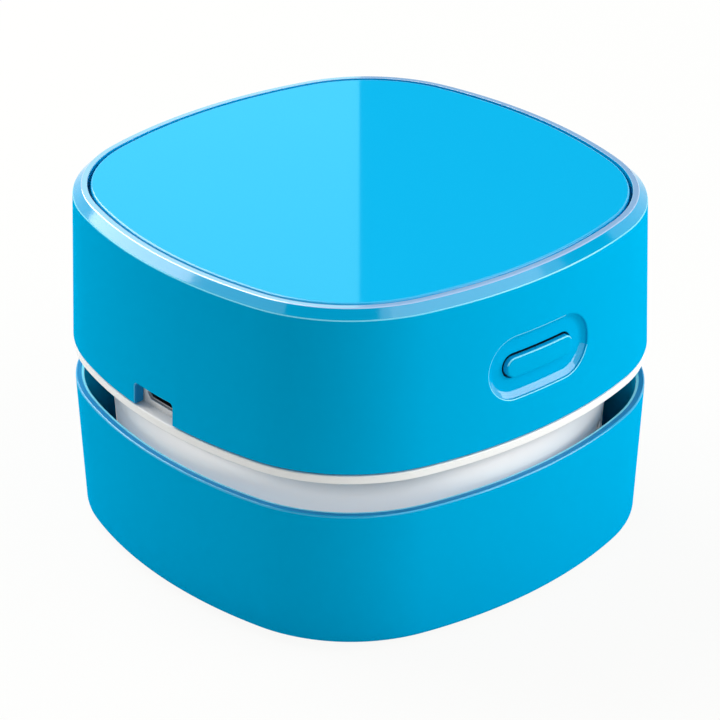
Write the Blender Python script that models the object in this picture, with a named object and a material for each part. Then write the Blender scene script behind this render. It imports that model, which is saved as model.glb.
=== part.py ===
"""Desktop mini vacuum cleaner: dust cup below, motor head above, filter between them.

Metres, +Z up. The origin is on the desk, under the middle of the four feet.
The -Y side carries the charging port and the +X side carries the power button.
"""
import math

import bmesh
import bpy
from mathutils import Matrix, Vector

# Casing outline seen from above: four long side arcs joined by four corner arcs
BODY_HALF = 0.0430
SIDE_RADIUS = 0.0817
CORNER_RADIUS = 0.0263
SIDE_STEPS = 6
CORNER_STEPS = 8

# Heights of the stack, from the desk upwards
FOOT_STAND = 0.0015
CUP_HEIGHT = 0.0240
EXHAUST_GAP = 0.00565
DECK_THICKNESS = 0.0015
SHELL_SEAM = 0.0003
SHELL_HEIGHT = 0.02735

# Clearances that the whole assembly shares
FIT_GAP = 0.0003
RUN_GAP = 0.0001
OVERRUN = 0.0010
FUSE = 0.0003

# Dust cup
CUP_RIM_FLARE = 0.00115
CUP_FOOT_FLARE = 0.00025
CUP_WALL = 0.0015
CUP_FLOOR = 0.0014
CUP_FOOT_ROUND = 0.0006
CUP_RIM_CHAMFER = 0.0005
CUP_RIM_ROUND = 0.0004
BIN_WALL = 0.0013
BIN_HEIGHT = 0.0064
BIN_GAP = 0.0004
CUP_BOSS_RADIUS = 0.0026
CUP_BOSS_HEIGHT = 0.0042

# Base plate, suction mouth, brushes and feet
BASE_THICKNESS = 0.0022
MOUTH_LENGTH = 0.0400
MOUTH_WIDTH = 0.0100
BRUSH_LENGTH = 0.0460
BRUSH_WIDTH = 0.0036
BRUSH_SPACING = 0.0105
BRUSH_BACK = 0.0008
BRUSH_COLUMNS = 25
BRUSH_ROWS = 3
BRISTLE_INSET = 0.00020
BRISTLE_END_GAP = 0.0002
FOOT_RADIUS = 0.0035
FOOT_INSET = 0.0006
FOOT_EDGE = 0.0003
FOOT_MARGIN = 0.00305
BASE_SCREW_SPACING = 0.0065

# Suction duct that stands in the cup's floor
DUCT_WALL = 0.0012
DUCT_FLANGE = 0.0020
DUCT_FLANGE_THICKNESS = 0.0012
DUCT_HEIGHT = 0.0042

# Filter cartridge
FRAME_THICKNESS = 0.0012
FRAME_RIM = 0.0056
FRAME_GAP = 0.0006
SPOKE_WIDTH = 0.0022
SPOKE_THICKNESS = 0.0006
SPOKE_COUNT = 4
PULL_RADIUS = 0.0032
PULL_DROP = 0.0012
PAD_THICKNESS = 0.0012
SEAL_THICKNESS = 0.0010
SEAL_WIDTH = 0.0042

# Fan housing, the round wall that shows in the exhaust gap
HOUSING_GAP = 0.0006
HOUSING_TAPER = 0.0011
HOUSING_WALL = 0.0015
HOUSING_FLOOR = 0.0016
HOUSING_SKIRT = 0.0062
EYE_RADIUS = 0.0130
GRILLE_BAR = 0.0012
SLOT_WIDTH = 0.0036
SLOT_HEIGHT = 0.0046
SLOT_SILL = 0.0006
SLOT_PITCH = 0.0062
SLOTS_PER_CORNER = 4
HOUSING_BOSS_RADIUS = 0.0034

# Motor deck
DECK_INSET = 0.00015
DECK_RIM_HEIGHT = 0.0018
DECK_RIM_WIDTH = 0.0012
WELL_DEPTH = 0.00575
WELL_WALL = 0.0014
WELL_FLOOR = 0.0015
WELL_COLLAR = 0.0025
SIDES_LARGE = 48
SIDES_MEDIUM = 24
SIDES_SMALL = 12

# Upper shell and top cap
SHELL_FLARE = 0.00115
SHELL_WALL = 0.0018
RIM_CHAMFER = 0.00145
RIM_LAND = 0.0010
SEAT_WIDTH = 0.0016
SEAT_THICKNESS = 0.0014
CAP_THICKNESS = 0.0018
CAP_EDGE = 0.0004
CAP_RING_WIDTH = 0.0012
CAP_LIP = 0.0004
CAP_LIP_HEIGHT = 0.0008

# Long head screws that clamp housing, deck and upper shell together
HEAD_BOSS_MARGIN = 0.00145
SCREW_RADIUS = 0.0010
SCREW_HEAD_RADIUS = 0.0019
SCREW_HEAD_HEIGHT = 0.0012
SCREW_SLOT_WIDTH = 0.0006
SCREW_SLOT_DEPTH = 0.0005
COUNTERBORE_DEPTH = 0.0020
SHELL_BOSS_RADIUS = 0.0030
SHELL_BOSS_HEIGHT = 0.0120
SHELL_RIB_WIDTH = 0.0016
SHELL_RIB_START = 0.0040
HEAD_SCREW_BITE = 0.0080
BASE_SCREW_BITE = 0.0030

# Power button and its recess in the +X wall
BUTTON_Y = -0.00033
BUTTON_RISE = 0.01235
BUTTON_LENGTH = 0.0143
BUTTON_HEIGHT = 0.0034
BUTTON_PROUD = 0.0009
BUTTON_EDGE = 0.0003
BUTTON_GAP = 0.0004
BUTTON_FLANGE = 0.0012
BUTTON_FLANGE_THICKNESS = 0.0010
BUTTON_TRAVEL = 0.0008
RECESS_LENGTH = 0.0216
RECESS_HEIGHT = 0.0109
RECESS_DEPTH = 0.0010
PILL_STEPS = 8

# Push switch behind the button
SWITCH_SIZE = 0.0062
SWITCH_DEPTH = 0.0036
PLUNGER_RADIUS = 0.0016
PLUNGER_STAND = 0.0016
PLUNGER_ROOT = 0.0012
SWITCH_BOARD_THICKNESS = 0.0010
SWITCH_BOARD_WIDTH = 0.0140
SWITCH_BOARD_HEIGHT = 0.0180

# Charging port in the -Y wall
PORT_X = 0.00043
NOTCH_WIDTH = 0.00975
NOTCH_HEIGHT = 0.00385
NOTCH_ROUND = 0.0008
SOCKET_WIDTH = 0.0075
SOCKET_HEIGHT = 0.0025
SOCKET_DEPTH = 0.0054
SOCKET_WALL = 0.0003
SOCKET_CHAMFER = 0.0008
SOCKET_BACK = 0.0005
TONGUE_WIDTH = 0.0036
TONGUE_THICKNESS = 0.0006
TONGUE_LENGTH = 0.0034
BRACKET_SIDE = 0.0010
BRACKET_HEAD = 0.0007
BRACKET_DEPTH = 0.0011
CHARGE_BOARD_THICKNESS = 0.0008
CHARGE_BOARD_WIDTH = 0.0230
CHARGE_BOARD_GAP = 0.0047
LED_SIZE = 0.0016
LED_HEIGHT = 0.0008
LED_EDGE = 0.0033

# Motor
MOTOR_RADIUS = 0.0122
MOTOR_HEADROOM = 0.0062
MOTOR_WALL = 0.0008
MOTOR_BOSS_RADIUS = 0.0032
MOTOR_BOSS_HEIGHT = 0.0014
GASKET_THICKNESS = 0.0008
GASKET_WIDTH = 0.0030
MOTOR_SCREW_REACH = 0.0080
MOTOR_SCREW_BITE = 0.0012
END_CAP_THICKNESS = 0.0022
TERMINAL_HEIGHT = 0.0016
TERMINAL_WIDTH = 0.0022
TERMINAL_THICKNESS = 0.0005
TERMINAL_REACH = 0.0075
BUSH_RADIUS = 0.0024
BUSH_LENGTH = 0.0028
SHAFT_RADIUS = 0.0010
SHAFT_TAIL = 0.0008
MAGNET_THICKNESS = 0.0018
MAGNET_OVERHANG = 0.00075
MAGNET_HALF_ANGLE = math.radians(66)
ARMATURE_GAP = 0.0005
ARMATURE_START = 0.0042
POLE_HALF_ANGLE = math.radians(46)
POLE_TIP = 0.0014
POLE_NECK_HALF = 0.0014
CORE_RADIUS = 0.0030
COIL_THICKNESS = 0.0016
COMMUTATOR_RADIUS = 0.0026
COMMUTATOR_LENGTH = 0.0034
COMMUTATOR_GAP = 0.0006

# Impeller
IMPELLER_SIDE_GAP = 0.0062
IMPELLER_DISC = 0.0008
IMPELLER_GAP = 0.0008
HUB_RADIUS = 0.0034
HUB_TOP = 0.0004
HUB_CLOSURE = 0.0012
BLADE_COUNT = 9
BLADE_INNER = 0.0105
BLADE_OUTER_INSET = 0.0004
BLADE_THICKNESS = 0.0010
BLADE_SWEEP = math.radians(38)
BLADE_STEPS = 3
HUB_DROP = 0.0044

# Battery
BATTERY_BAY_SHARE = 0.7085
BATTERY_END_GAP = 0.00397
BATTERY_EDGE = 0.0008
BATTERY_BUTTON_RADIUS = 0.0028
BATTERY_BUTTON_HEIGHT = 0.0008
BATTERY_PAD_THICKNESS = 0.0008
BATTERY_PAD_WIDTH = 0.0120
BATTERY_TAB_THICKNESS = 0.0003
BATTERY_TAB_WIDTH = 0.0050
BATTERY_TAB_HEIGHT = 0.0110

# Wires inside the head; a pad's shares are across the charge board and in from its back
WIRE_RADIUS = 0.0006
WIRE_LIFT = 0.0004
WIRE_RISE = 0.0018
WIRE_LANE = 0.0024
WIRE_STEPS = 2
CHANNEL_SHARES = (0.45, -0.35)
PLUS_PAD_SHARES = (-0.38, 0.10)
MINUS_PAD_SHARES = (-0.43, 0.35)
MOTOR_PLUS_PAD_SHARES = (0.24, 0.12)
MOTOR_MINUS_PAD_SHARES = (-0.18, 0.12)
SWITCH_PAD_SHARE = 0.25
SWITCH_PAD_RISE = 0.0050
SWITCH_LEFT_PAD_SHARES = (0.42, 0.40)
SWITCH_RIGHT_PAD_SHARES = (0.42, 0.15)

# Levels worked out from the heights above
Z_CUP = FOOT_STAND
Z_BASE_TOP = Z_CUP + BASE_THICKNESS
Z_FLOOR = Z_BASE_TOP + FIT_GAP
Z_CHAMBER = Z_FLOOR + CUP_FLOOR
Z_BIN_TOP = Z_CHAMBER + BIN_HEIGHT
Z_RIM = Z_CUP + CUP_HEIGHT
Z_FRAME = Z_BIN_TOP + FIT_GAP
Z_FRAME_TOP = Z_FRAME + FRAME_THICKNESS
Z_SEAL = Z_FRAME_TOP + FIT_GAP
Z_PLENUM_FLOOR = Z_SEAL + SEAL_THICKNESS + FIT_GAP
Z_PLENUM = Z_PLENUM_FLOOR + HOUSING_FLOOR
Z_DECK = Z_RIM + EXHAUST_GAP
Z_DECK_TOP = Z_DECK + DECK_THICKNESS
Z_SHELL = Z_DECK_TOP + SHELL_SEAM
Z_TOP = Z_SHELL + SHELL_HEIGHT
Z_SEAT = Z_TOP - CAP_THICKNESS - FIT_GAP
Z_SEAT_UNDER = Z_SEAT - SEAT_THICKNESS
Z_WELL = Z_DECK - WELL_DEPTH
Z_WELL_FLOOR = Z_WELL + WELL_FLOOR
Z_GASKET = Z_WELL_FLOOR + FIT_GAP
Z_MOTOR = Z_GASKET + GASKET_THICKNESS + FIT_GAP
Z_MOTOR_TOP = Z_TOP - CAP_THICKNESS - MOTOR_HEADROOM
Z_BUSH = Z_MOTOR_TOP - BUSH_LENGTH
Z_COMMUTATOR = Z_BUSH - FIT_GAP - COMMUTATOR_GAP - COMMUTATOR_LENGTH
Z_ARMATURE = Z_MOTOR + ARMATURE_START
Z_ARMATURE_TOP = Z_COMMUTATOR - COIL_THICKNESS - 2 * FIT_GAP
Z_BUTTON = Z_SHELL + BUTTON_RISE
Z_BOARD = Z_DECK_TOP + FIT_GAP
Z_SOCKET = Z_BOARD + CHARGE_BOARD_THICKNESS + FIT_GAP
Z_IMPELLER_TOP = Z_WELL - SCREW_HEAD_HEIGHT - IMPELLER_GAP
Z_BLADE = Z_PLENUM + IMPELLER_GAP

# Radii worked out from the casing
RIM_HALF = BODY_HALF + CUP_RIM_FLARE
FOOT_HALF = BODY_HALF + CUP_FOOT_FLARE
SHELL_FOOT_HALF = BODY_HALF + SHELL_FLARE
HOUSING_TOP_RADIUS = RIM_HALF - CUP_WALL - HOUSING_GAP
HOUSING_BOTTOM_RADIUS = HOUSING_TOP_RADIUS - HOUSING_TAPER
Z_HOUSING = Z_PLENUM_FLOOR - HOUSING_SKIRT
BIN_RADIUS = HOUSING_BOTTOM_RADIUS - HOUSING_WALL - BIN_GAP
FRAME_RADIUS = BIN_RADIUS - FIT_GAP
HEAD_SCREW_REACH = HOUSING_BOTTOM_RADIUS - HOUSING_WALL - HOUSING_BOSS_RADIUS - HEAD_BOSS_MARGIN
IMPELLER_RADIUS = HEAD_SCREW_REACH - HOUSING_BOSS_RADIUS - IMPELLER_SIDE_GAP
CAP_OPENING_HALF = BODY_HALF - RIM_CHAMFER - RIM_LAND
CAP_HALF = CAP_OPENING_HALF - FIT_GAP
SEAT_HALF = CAP_OPENING_HALF - SEAT_WIDTH
WELL_RADIUS = MOTOR_RADIUS + FIT_GAP
WELL_OUTER = WELL_RADIUS + WELL_WALL
PLATE_HALF = FOOT_HALF - CUP_WALL - FIT_GAP

# The battery lies in the bay between the motor's well, the curved wall and two corner bosses
BATTERY_HALF = HEAD_SCREW_REACH / math.sqrt(2) - SHELL_BOSS_RADIUS - BATTERY_END_GAP
SIDE_BOW = SIDE_RADIUS - math.sqrt(SIDE_RADIUS ** 2 - BATTERY_HALF ** 2)
BAY_END = BODY_HALF - SHELL_WALL - SIDE_BOW
BATTERY_RADIUS = (BAY_END - WELL_OUTER) / 2 * BATTERY_BAY_SHARE
BATTERY_X = -(BAY_END + WELL_OUTER) / 2
Z_BATTERY = Z_DECK_TOP + FIT_GAP + BATTERY_PAD_THICKNESS + FIT_GAP + BATTERY_RADIUS
QUARTER = math.pi / 2


def clear_scene():
    for obj in list(bpy.data.objects):
        bpy.data.objects.remove(obj, do_unlink=True)
    for mesh in list(bpy.data.meshes):
        bpy.data.meshes.remove(mesh)


def material(name, colour, roughness, metallic=0.0):
    made = bpy.data.materials.get(name) or bpy.data.materials.new(name)
    made.use_nodes = True
    shader = made.node_tree.nodes["Principled BSDF"]
    shader.inputs["Base Color"].default_value = (*colour, 1.0)
    shader.inputs["Roughness"].default_value = roughness
    shader.inputs["Metallic"].default_value = metallic
    return made


def blue_abs():
    return material("blue gloss ABS", (0.0, 0.36, 0.72), 0.18)


def white_abs():
    return material("white ABS", (0.82, 0.82, 0.80), 0.30)


def grey_abs():
    return material("dark grey ABS", (0.06, 0.06, 0.07), 0.45)


def rubber():
    return material("black rubber", (0.02, 0.02, 0.02), 0.80)


def steel():
    return material("zinc plated steel", (0.62, 0.62, 0.60), 0.30, 1.0)


def copper():
    return material("enamelled copper", (0.55, 0.20, 0.07), 0.35, 1.0)


def fibreglass():
    return material("green fibreglass board", (0.01, 0.18, 0.07), 0.40)


def black_nylon():
    return material("black nylon", (0.015, 0.015, 0.017), 0.40)


def corner_centre():
    """Place of the corner arc's centre, the same on both axes for every parallel outline."""
    side = SIDE_RADIUS - BODY_HALF
    reach = SIDE_RADIUS - CORNER_RADIUS
    return (math.sqrt(8 * reach ** 2 - 4 * side ** 2) - 2 * side) / 4


def corner_reach(half):
    """Distance from the middle to the corner of a parallel outline."""
    return corner_centre() * math.sqrt(2) + CORNER_RADIUS + half - BODY_HALF


def foot_reach():
    """Distance from the middle to a foot, set in from the base plate's corner."""
    return corner_reach(PLATE_HALF) - FOOT_MARGIN - FOOT_RADIUS


def cup_boss_reach():
    """Distance from the middle to a base screw, beside its foot."""
    return foot_reach() - BASE_SCREW_SPACING


def outline(half):
    """Rounded square of the given half width, parallel to the casing's own outline."""
    centre = corner_centre()
    corner = CORNER_RADIUS + half - BODY_HALF
    side = SIDE_RADIUS + half - BODY_HALF
    swing = math.atan2(centre, centre + SIDE_RADIUS - BODY_HALF)
    quarter = []
    for step in range(SIDE_STEPS):
        angle = swing * (2 * step / SIDE_STEPS - 1)
        quarter.append((half - side + side * math.cos(angle), side * math.sin(angle)))
    for step in range(CORNER_STEPS):
        angle = swing + (QUARTER - 2 * swing) * step / CORNER_STEPS
        quarter.append((centre + corner * math.cos(angle), centre + corner * math.sin(angle)))
    points = []
    for turn in range(4):
        cos, sin = math.cos(turn * QUARTER), math.sin(turn * QUARTER)
        points += [(x * cos - y * sin, x * sin + y * cos) for x, y in quarter]
    return points


def shell_half(z):
    """Half width of the upper shell's outer wall at a height."""
    return BODY_HALF + SHELL_FLARE * (Z_TOP - z) / SHELL_HEIGHT


def cup_half(z):
    """Half width of the dust cup's outer wall at a height."""
    return FOOT_HALF + (RIM_HALF - FOOT_HALF) * (z - Z_CUP) / CUP_HEIGHT


def housing_radius(z):
    """Outer radius of the tapered fan housing at a height."""
    share = (z - Z_HOUSING) / (Z_DECK - Z_HOUSING)
    return HOUSING_BOTTOM_RADIUS + HOUSING_TAPER * share


def shell_surface_x(y, z, depth):
    """X of the +X wall's outer face at a place on it, sunk by a depth."""
    radius = SIDE_RADIUS + shell_half(z) - BODY_HALF
    return shell_half(z) - radius + math.sqrt(radius ** 2 - y ** 2) - depth


def new_object(name, bm, look, origin=(0, 0, 0)):
    """Closed mesh made an object, its faces out and its origin at a given place."""
    bmesh.ops.recalc_face_normals(bm, faces=bm.faces)
    bmesh.ops.translate(bm, verts=bm.verts, vec=-Vector(origin))
    mesh = bpy.data.meshes.new(name)
    bm.to_mesh(mesh)
    bm.free()
    mesh.shade_smooth()
    mesh.set_sharp_from_angle(angle=math.radians(30))
    mesh.materials.append(look)
    obj = bpy.data.objects.new(name, mesh)
    obj.location = origin
    bpy.context.scene.collection.objects.link(obj)
    return obj


def tool_object(name, bm):
    """Cutter or guide, left out of the model."""
    obj = new_object(name, bm, material("guide", (1.0, 0.0, 1.0), 0.5))
    obj.hide_render = True
    obj.display_type = "WIRE"
    return obj


def combine(target, tool, operation):
    modifier = target.modifiers.new(tool.name, "BOOLEAN")
    modifier.solver = "EXACT"
    modifier.operation = operation
    modifier.object = tool


def cut(target, name, bm):
    combine(target, tool_object(name, bm), "DIFFERENCE")


def fuse(target, name, bm):
    combine(target, tool_object(name, bm), "UNION")


def loft(rings, closed=False):
    """Body through parallel outlines, each a half width and a height."""
    bm = bmesh.new()
    loops = [[bm.verts.new((x, y, z)) for x, y in outline(half)] for half, z in rings]
    if not closed:
        bm.faces.new(loops[0])
        bm.faces.new(loops[-1])
    pairs = list(zip(loops, loops[1:]))
    if closed:
        pairs.append((loops[-1], loops[0]))
    for lower, upper in pairs:
        for i in range(len(lower)):
            bm.faces.new((lower[i - 1], lower[i], upper[i], upper[i - 1]))
    return bm


def turned(profile, sides, closed=True, centre=(0, 0)):
    """Body turned about a vertical axis from (radius, height) points."""
    bm = bmesh.new()
    verts = [bm.verts.new((radius, 0, z)) for radius, z in profile]
    pairs = list(zip(verts, verts[1:]))
    if closed:
        pairs.append((verts[-1], verts[0]))
    edges = [bm.edges.new(pair) for pair in pairs]
    bmesh.ops.spin(bm, geom=verts + edges, axis=(0, 0, 1), cent=(0, 0, 0),
                   angle=2 * math.pi, steps=sides, use_merge=True)
    bmesh.ops.remove_doubles(bm, verts=bm.verts, dist=RUN_GAP / 10)
    bmesh.ops.translate(bm, verts=bm.verts, vec=(*centre, 0))
    return bm


def rod(radius, low, high, sides, centre=(0, 0)):
    """Plain upright cylinder."""
    return turned([(0, low), (radius, low), (radius, high), (0, high)], sides, False, centre)


def tube(outer, inner, low, high, sides, centre=(0, 0)):
    """Upright ring of square section."""
    return turned([(inner, low), (outer, low), (outer, high), (inner, high)], sides, True, centre)


def block(low, high):
    """Box between two corners."""
    bm = bmesh.new()
    bmesh.ops.create_cube(bm, size=1.0)
    size = Vector(high) - Vector(low)
    bmesh.ops.scale(bm, verts=bm.verts, vec=size)
    bmesh.ops.translate(bm, verts=bm.verts, vec=(Vector(high) + Vector(low)) / 2)
    return bm


def prism(points, travel):
    """Flat face through the points, extruded along a vector."""
    bm = bmesh.new()
    face = bm.faces.new([bm.verts.new(point) for point in points])
    made = bmesh.ops.extrude_face_region(bm, geom=[face])["geom"]
    moved = [item for item in made if isinstance(item, bmesh.types.BMVert)]
    bmesh.ops.translate(bm, verts=moved, vec=travel)
    return bm


def join(parts):
    """Several bmeshes put into one, still separate bodies."""
    whole = bmesh.new()
    for part in parts:
        mesh = bpy.data.meshes.new("join")
        part.to_mesh(mesh)
        part.free()
        whole.from_mesh(mesh)
        bpy.data.meshes.remove(mesh)
    return whole


def pill(length, width, z, height):
    """Upright block with a round-ended plan along X."""
    radius = width / 2
    straight = length / 2 - radius
    points = []
    for end in (1, -1):
        for step in range(PILL_STEPS + 1):
            angle = math.pi * step / PILL_STEPS - QUARTER
            points.append((end * (straight + radius * math.cos(angle)),
                           end * radius * math.sin(angle), z))
    return prism(points, (0, 0, height))


def pill_wall(levels):
    """Round-ended block lying along Y, whose levels may follow the curved casing.

    Each level is a half length, a half height and a function giving X at (y, z).
    """
    bm = bmesh.new()
    loops = []
    for half_length, half_height, place in levels:
        straight = half_length - half_height
        columns = []
        for step in range(PILL_STEPS + 1):
            angle = QUARTER * step / PILL_STEPS
            columns.append((-straight - half_height * math.cos(angle), half_height * math.sin(angle)))
        columns += [(-y, rise) for y, rise in reversed(columns)]
        upper, lower = [], []
        for y, rise in columns:
            for side, sign in ((upper, 1), (lower, -1)):
                across, up = BUTTON_Y + y, Z_BUTTON + sign * rise
                side.append(bm.verts.new((place(across, up), across, up)))
        for column in (0, -1):
            bmesh.ops.pointmerge(bm, verts=[upper[column], lower[column]], merge_co=upper[column].co)
            lower[column] = upper[column]
        loops.append((upper, lower))
    for upper, lower in (loops[0], loops[-1]):
        bm.faces.new((upper[0], upper[1], lower[1]))
        for i in range(1, len(upper) - 2):
            bm.faces.new((upper[i], upper[i + 1], lower[i + 1], lower[i]))
        bm.faces.new((upper[-2], upper[-1], lower[-2]))
    for near, far in zip(loops, loops[1:]):
        for side in (0, 1):
            for i in range(len(near[side]) - 1):
                bm.faces.new((near[side][i], near[side][i + 1], far[side][i + 1], far[side][i]))
    return bm


def corners(reach):
    """Four places on the diagonals, at a distance from the middle."""
    side = reach / math.sqrt(2)
    return [(sx * side, sy * side) for sx, sy in ((1, 1), (-1, 1), (-1, -1), (1, -1))]


def screw(name, centre, head_bottom, tip):
    """Slotted pan head screw pointing up."""
    head_top = head_bottom + SCREW_HEAD_HEIGHT
    profile = [(0, head_bottom), (SCREW_HEAD_RADIUS, head_bottom), (SCREW_HEAD_RADIUS, head_top),
               (SCREW_RADIUS, head_top), (SCREW_RADIUS, tip - SCREW_RADIUS), (0, tip)]
    made = new_object(name, turned(profile, SIDES_SMALL, False, centre), steel())
    x, y = centre
    slot = block((x - SCREW_HEAD_RADIUS - OVERRUN, y - SCREW_SLOT_WIDTH / 2, head_bottom - OVERRUN),
                 (x + SCREW_HEAD_RADIUS + OVERRUN, y + SCREW_SLOT_WIDTH / 2,
                  head_bottom + SCREW_SLOT_DEPTH))
    cut(made, name + "_slot_cut", slot)
    return made


def lower_shell():
    """Dust cup: casing wall, floor and the round bin that holds the dust."""
    inner_foot = cup_half(Z_CHAMBER) - CUP_WALL
    inner_rim = RIM_HALF - CUP_WALL
    cup = new_object("lower_shell", loft([
        (FOOT_HALF - CUP_FOOT_ROUND, Z_CUP),
        (cup_half(Z_CUP + CUP_FOOT_ROUND), Z_CUP + CUP_FOOT_ROUND),
        (cup_half(Z_RIM - CUP_RIM_CHAMFER), Z_RIM - CUP_RIM_CHAMFER),
        (RIM_HALF - CUP_RIM_CHAMFER, Z_RIM)]), blue_abs())
    cut(cup, "cup_pocket_cut", loft([
        (inner_foot, Z_CHAMBER),
        (inner_rim, Z_RIM - CUP_RIM_ROUND),
        (inner_rim + CUP_RIM_ROUND, Z_RIM),
        (inner_rim + CUP_RIM_ROUND, Z_RIM + OVERRUN)]))
    cut(cup, "cup_base_cut", loft([
        (FOOT_HALF - CUP_WALL, Z_CUP - OVERRUN),
        (FOOT_HALF - CUP_WALL, Z_FLOOR)]))
    fuse(cup, "bin_wall_fuse", tube(BIN_RADIUS, BIN_RADIUS - BIN_WALL, Z_CHAMBER - FUSE, Z_BIN_TOP,
                                    SIDES_LARGE))
    duct_length = MOUTH_LENGTH + 2 * (DUCT_WALL + FIT_GAP)
    duct_width = MOUTH_WIDTH + 2 * (DUCT_WALL + FIT_GAP)
    cut(cup, "cup_duct_cut", pill(duct_length, duct_width, Z_FLOOR - OVERRUN,
                                  CUP_FLOOR + 2 * OVERRUN))
    fuse(cup, "cup_boss_fuse", join([
        rod(CUP_BOSS_RADIUS, Z_CHAMBER - FUSE, Z_CHAMBER + CUP_BOSS_HEIGHT, SIDES_SMALL, place)
        for place in corners(cup_boss_reach())]))
    pilot_top = Z_FLOOR + BASE_SCREW_BITE + FIT_GAP
    cut(cup, "cup_pilot_cut", join([
        rod(SCREW_RADIUS + FIT_GAP, Z_FLOOR - OVERRUN, pilot_top, SIDES_SMALL, place)
        for place in corners(cup_boss_reach())]))
    return cup


def base_plate():
    """Plate in the cup's underside, with the suction mouth, brush channels and foot recesses."""
    plate = new_object("base_plate", loft([(PLATE_HALF, Z_CUP), (PLATE_HALF, Z_BASE_TOP)]),
                       grey_abs())
    cut(plate, "mouth_cut", pill(MOUTH_LENGTH, MOUTH_WIDTH, Z_CUP - OVERRUN,
                                 BASE_THICKNESS + 2 * OVERRUN))
    length, width = BRUSH_LENGTH / 2 + FIT_GAP, BRUSH_WIDTH / 2 + FIT_GAP
    cut(plate, "brush_cut", join([
        block((-length, side * BRUSH_SPACING - width, Z_CUP - OVERRUN),
              (length, side * BRUSH_SPACING + width, Z_BASE_TOP + OVERRUN))
        for side in (-1, 1)]))
    cut(plate, "foot_cut", join([
        rod(FOOT_RADIUS + FIT_GAP, Z_CUP - OVERRUN, Z_CUP + FOOT_INSET + FIT_GAP, SIDES_SMALL, place)
        for place in corners(foot_reach())]))
    head_deep = SCREW_HEAD_HEIGHT + FIT_GAP
    cut(plate, "base_screw_cut", join([
        turned([(0, Z_CUP - OVERRUN), (SCREW_HEAD_RADIUS + FIT_GAP, Z_CUP - OVERRUN),
                (SCREW_HEAD_RADIUS + FIT_GAP, Z_CUP + head_deep),
                (SCREW_RADIUS + FIT_GAP, Z_CUP + head_deep),
                (SCREW_RADIUS + FIT_GAP, Z_BASE_TOP + OVERRUN), (0, Z_BASE_TOP + OVERRUN)],
               SIDES_SMALL, False, place)
        for place in corners(cup_boss_reach())]))
    return plate


def brush_strip(name, side):
    """Nylon bristles moulded into a short backing bar."""
    back = Z_BASE_TOP - BRUSH_BACK
    bm = bmesh.new()
    bmesh.ops.create_grid(bm, x_segments=BRUSH_COLUMNS, y_segments=BRUSH_ROWS, size=0.5)
    bmesh.ops.scale(bm, verts=bm.verts, vec=(BRUSH_LENGTH, BRUSH_WIDTH, 1))
    made = bmesh.ops.extrude_face_region(bm, geom=bm.faces[:])["geom"]
    raised = [item for item in made if isinstance(item, bmesh.types.BMVert)]
    bmesh.ops.translate(bm, verts=raised, vec=(0, 0, BRUSH_BACK))
    raised_faces = [item for item in made if isinstance(item, bmesh.types.BMFace)]
    bmesh.ops.dissolve_faces(bm, faces=raised_faces)
    under = [face for face in bm.faces if all(abs(vert.co.z) < RUN_GAP for vert in face.verts)]
    under = bmesh.ops.triangulate(bm, faces=under)["faces"]
    bmesh.ops.inset_individual(bm, faces=under, thickness=BRISTLE_INSET)
    tips = bmesh.ops.extrude_discrete_faces(bm, faces=under)["faces"]
    for tip in tips:
        middle = tip.calc_center_median() - Vector((0, 0, back - BRISTLE_END_GAP))
        bmesh.ops.pointmerge(bm, verts=list(tip.verts), merge_co=middle)
    bmesh.ops.translate(bm, verts=bm.verts, vec=(0, side * BRUSH_SPACING, back))
    return new_object(name, bm, material("white nylon bristle", (0.75, 0.75, 0.72), 0.5))


def glide_foot(name, place):
    """Rubber foot stuck into a shallow recess of the base plate."""
    top = Z_CUP + FOOT_INSET
    profile = [(0, 0), (FOOT_RADIUS - FOOT_EDGE, 0), (FOOT_RADIUS, FOOT_EDGE), (FOOT_RADIUS, top),
               (0, top)]
    return new_object(name, turned(profile, SIDES_SMALL, False, place), rubber())


def inlet_duct():
    """Oblong chimney that stops dust falling back out of the mouth."""
    inner_length, inner_width = MOUTH_LENGTH, MOUTH_WIDTH
    outer_length, outer_width = inner_length + 2 * DUCT_WALL, inner_width + 2 * DUCT_WALL
    flange = Z_CHAMBER + FIT_GAP
    height = CUP_FLOOR + DUCT_HEIGHT
    duct = new_object("inlet_duct", pill(outer_length, outer_width, Z_FLOOR, height), white_abs())
    fuse(duct, "duct_flange_fuse", pill(outer_length + 2 * DUCT_FLANGE, outer_width + 2 * DUCT_FLANGE,
                                        flange, DUCT_FLANGE_THICKNESS))
    cut(duct, "duct_bore_cut", pill(inner_length, inner_width, Z_FLOOR - OVERRUN,
                                    height + 2 * OVERRUN))
    return duct


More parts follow.
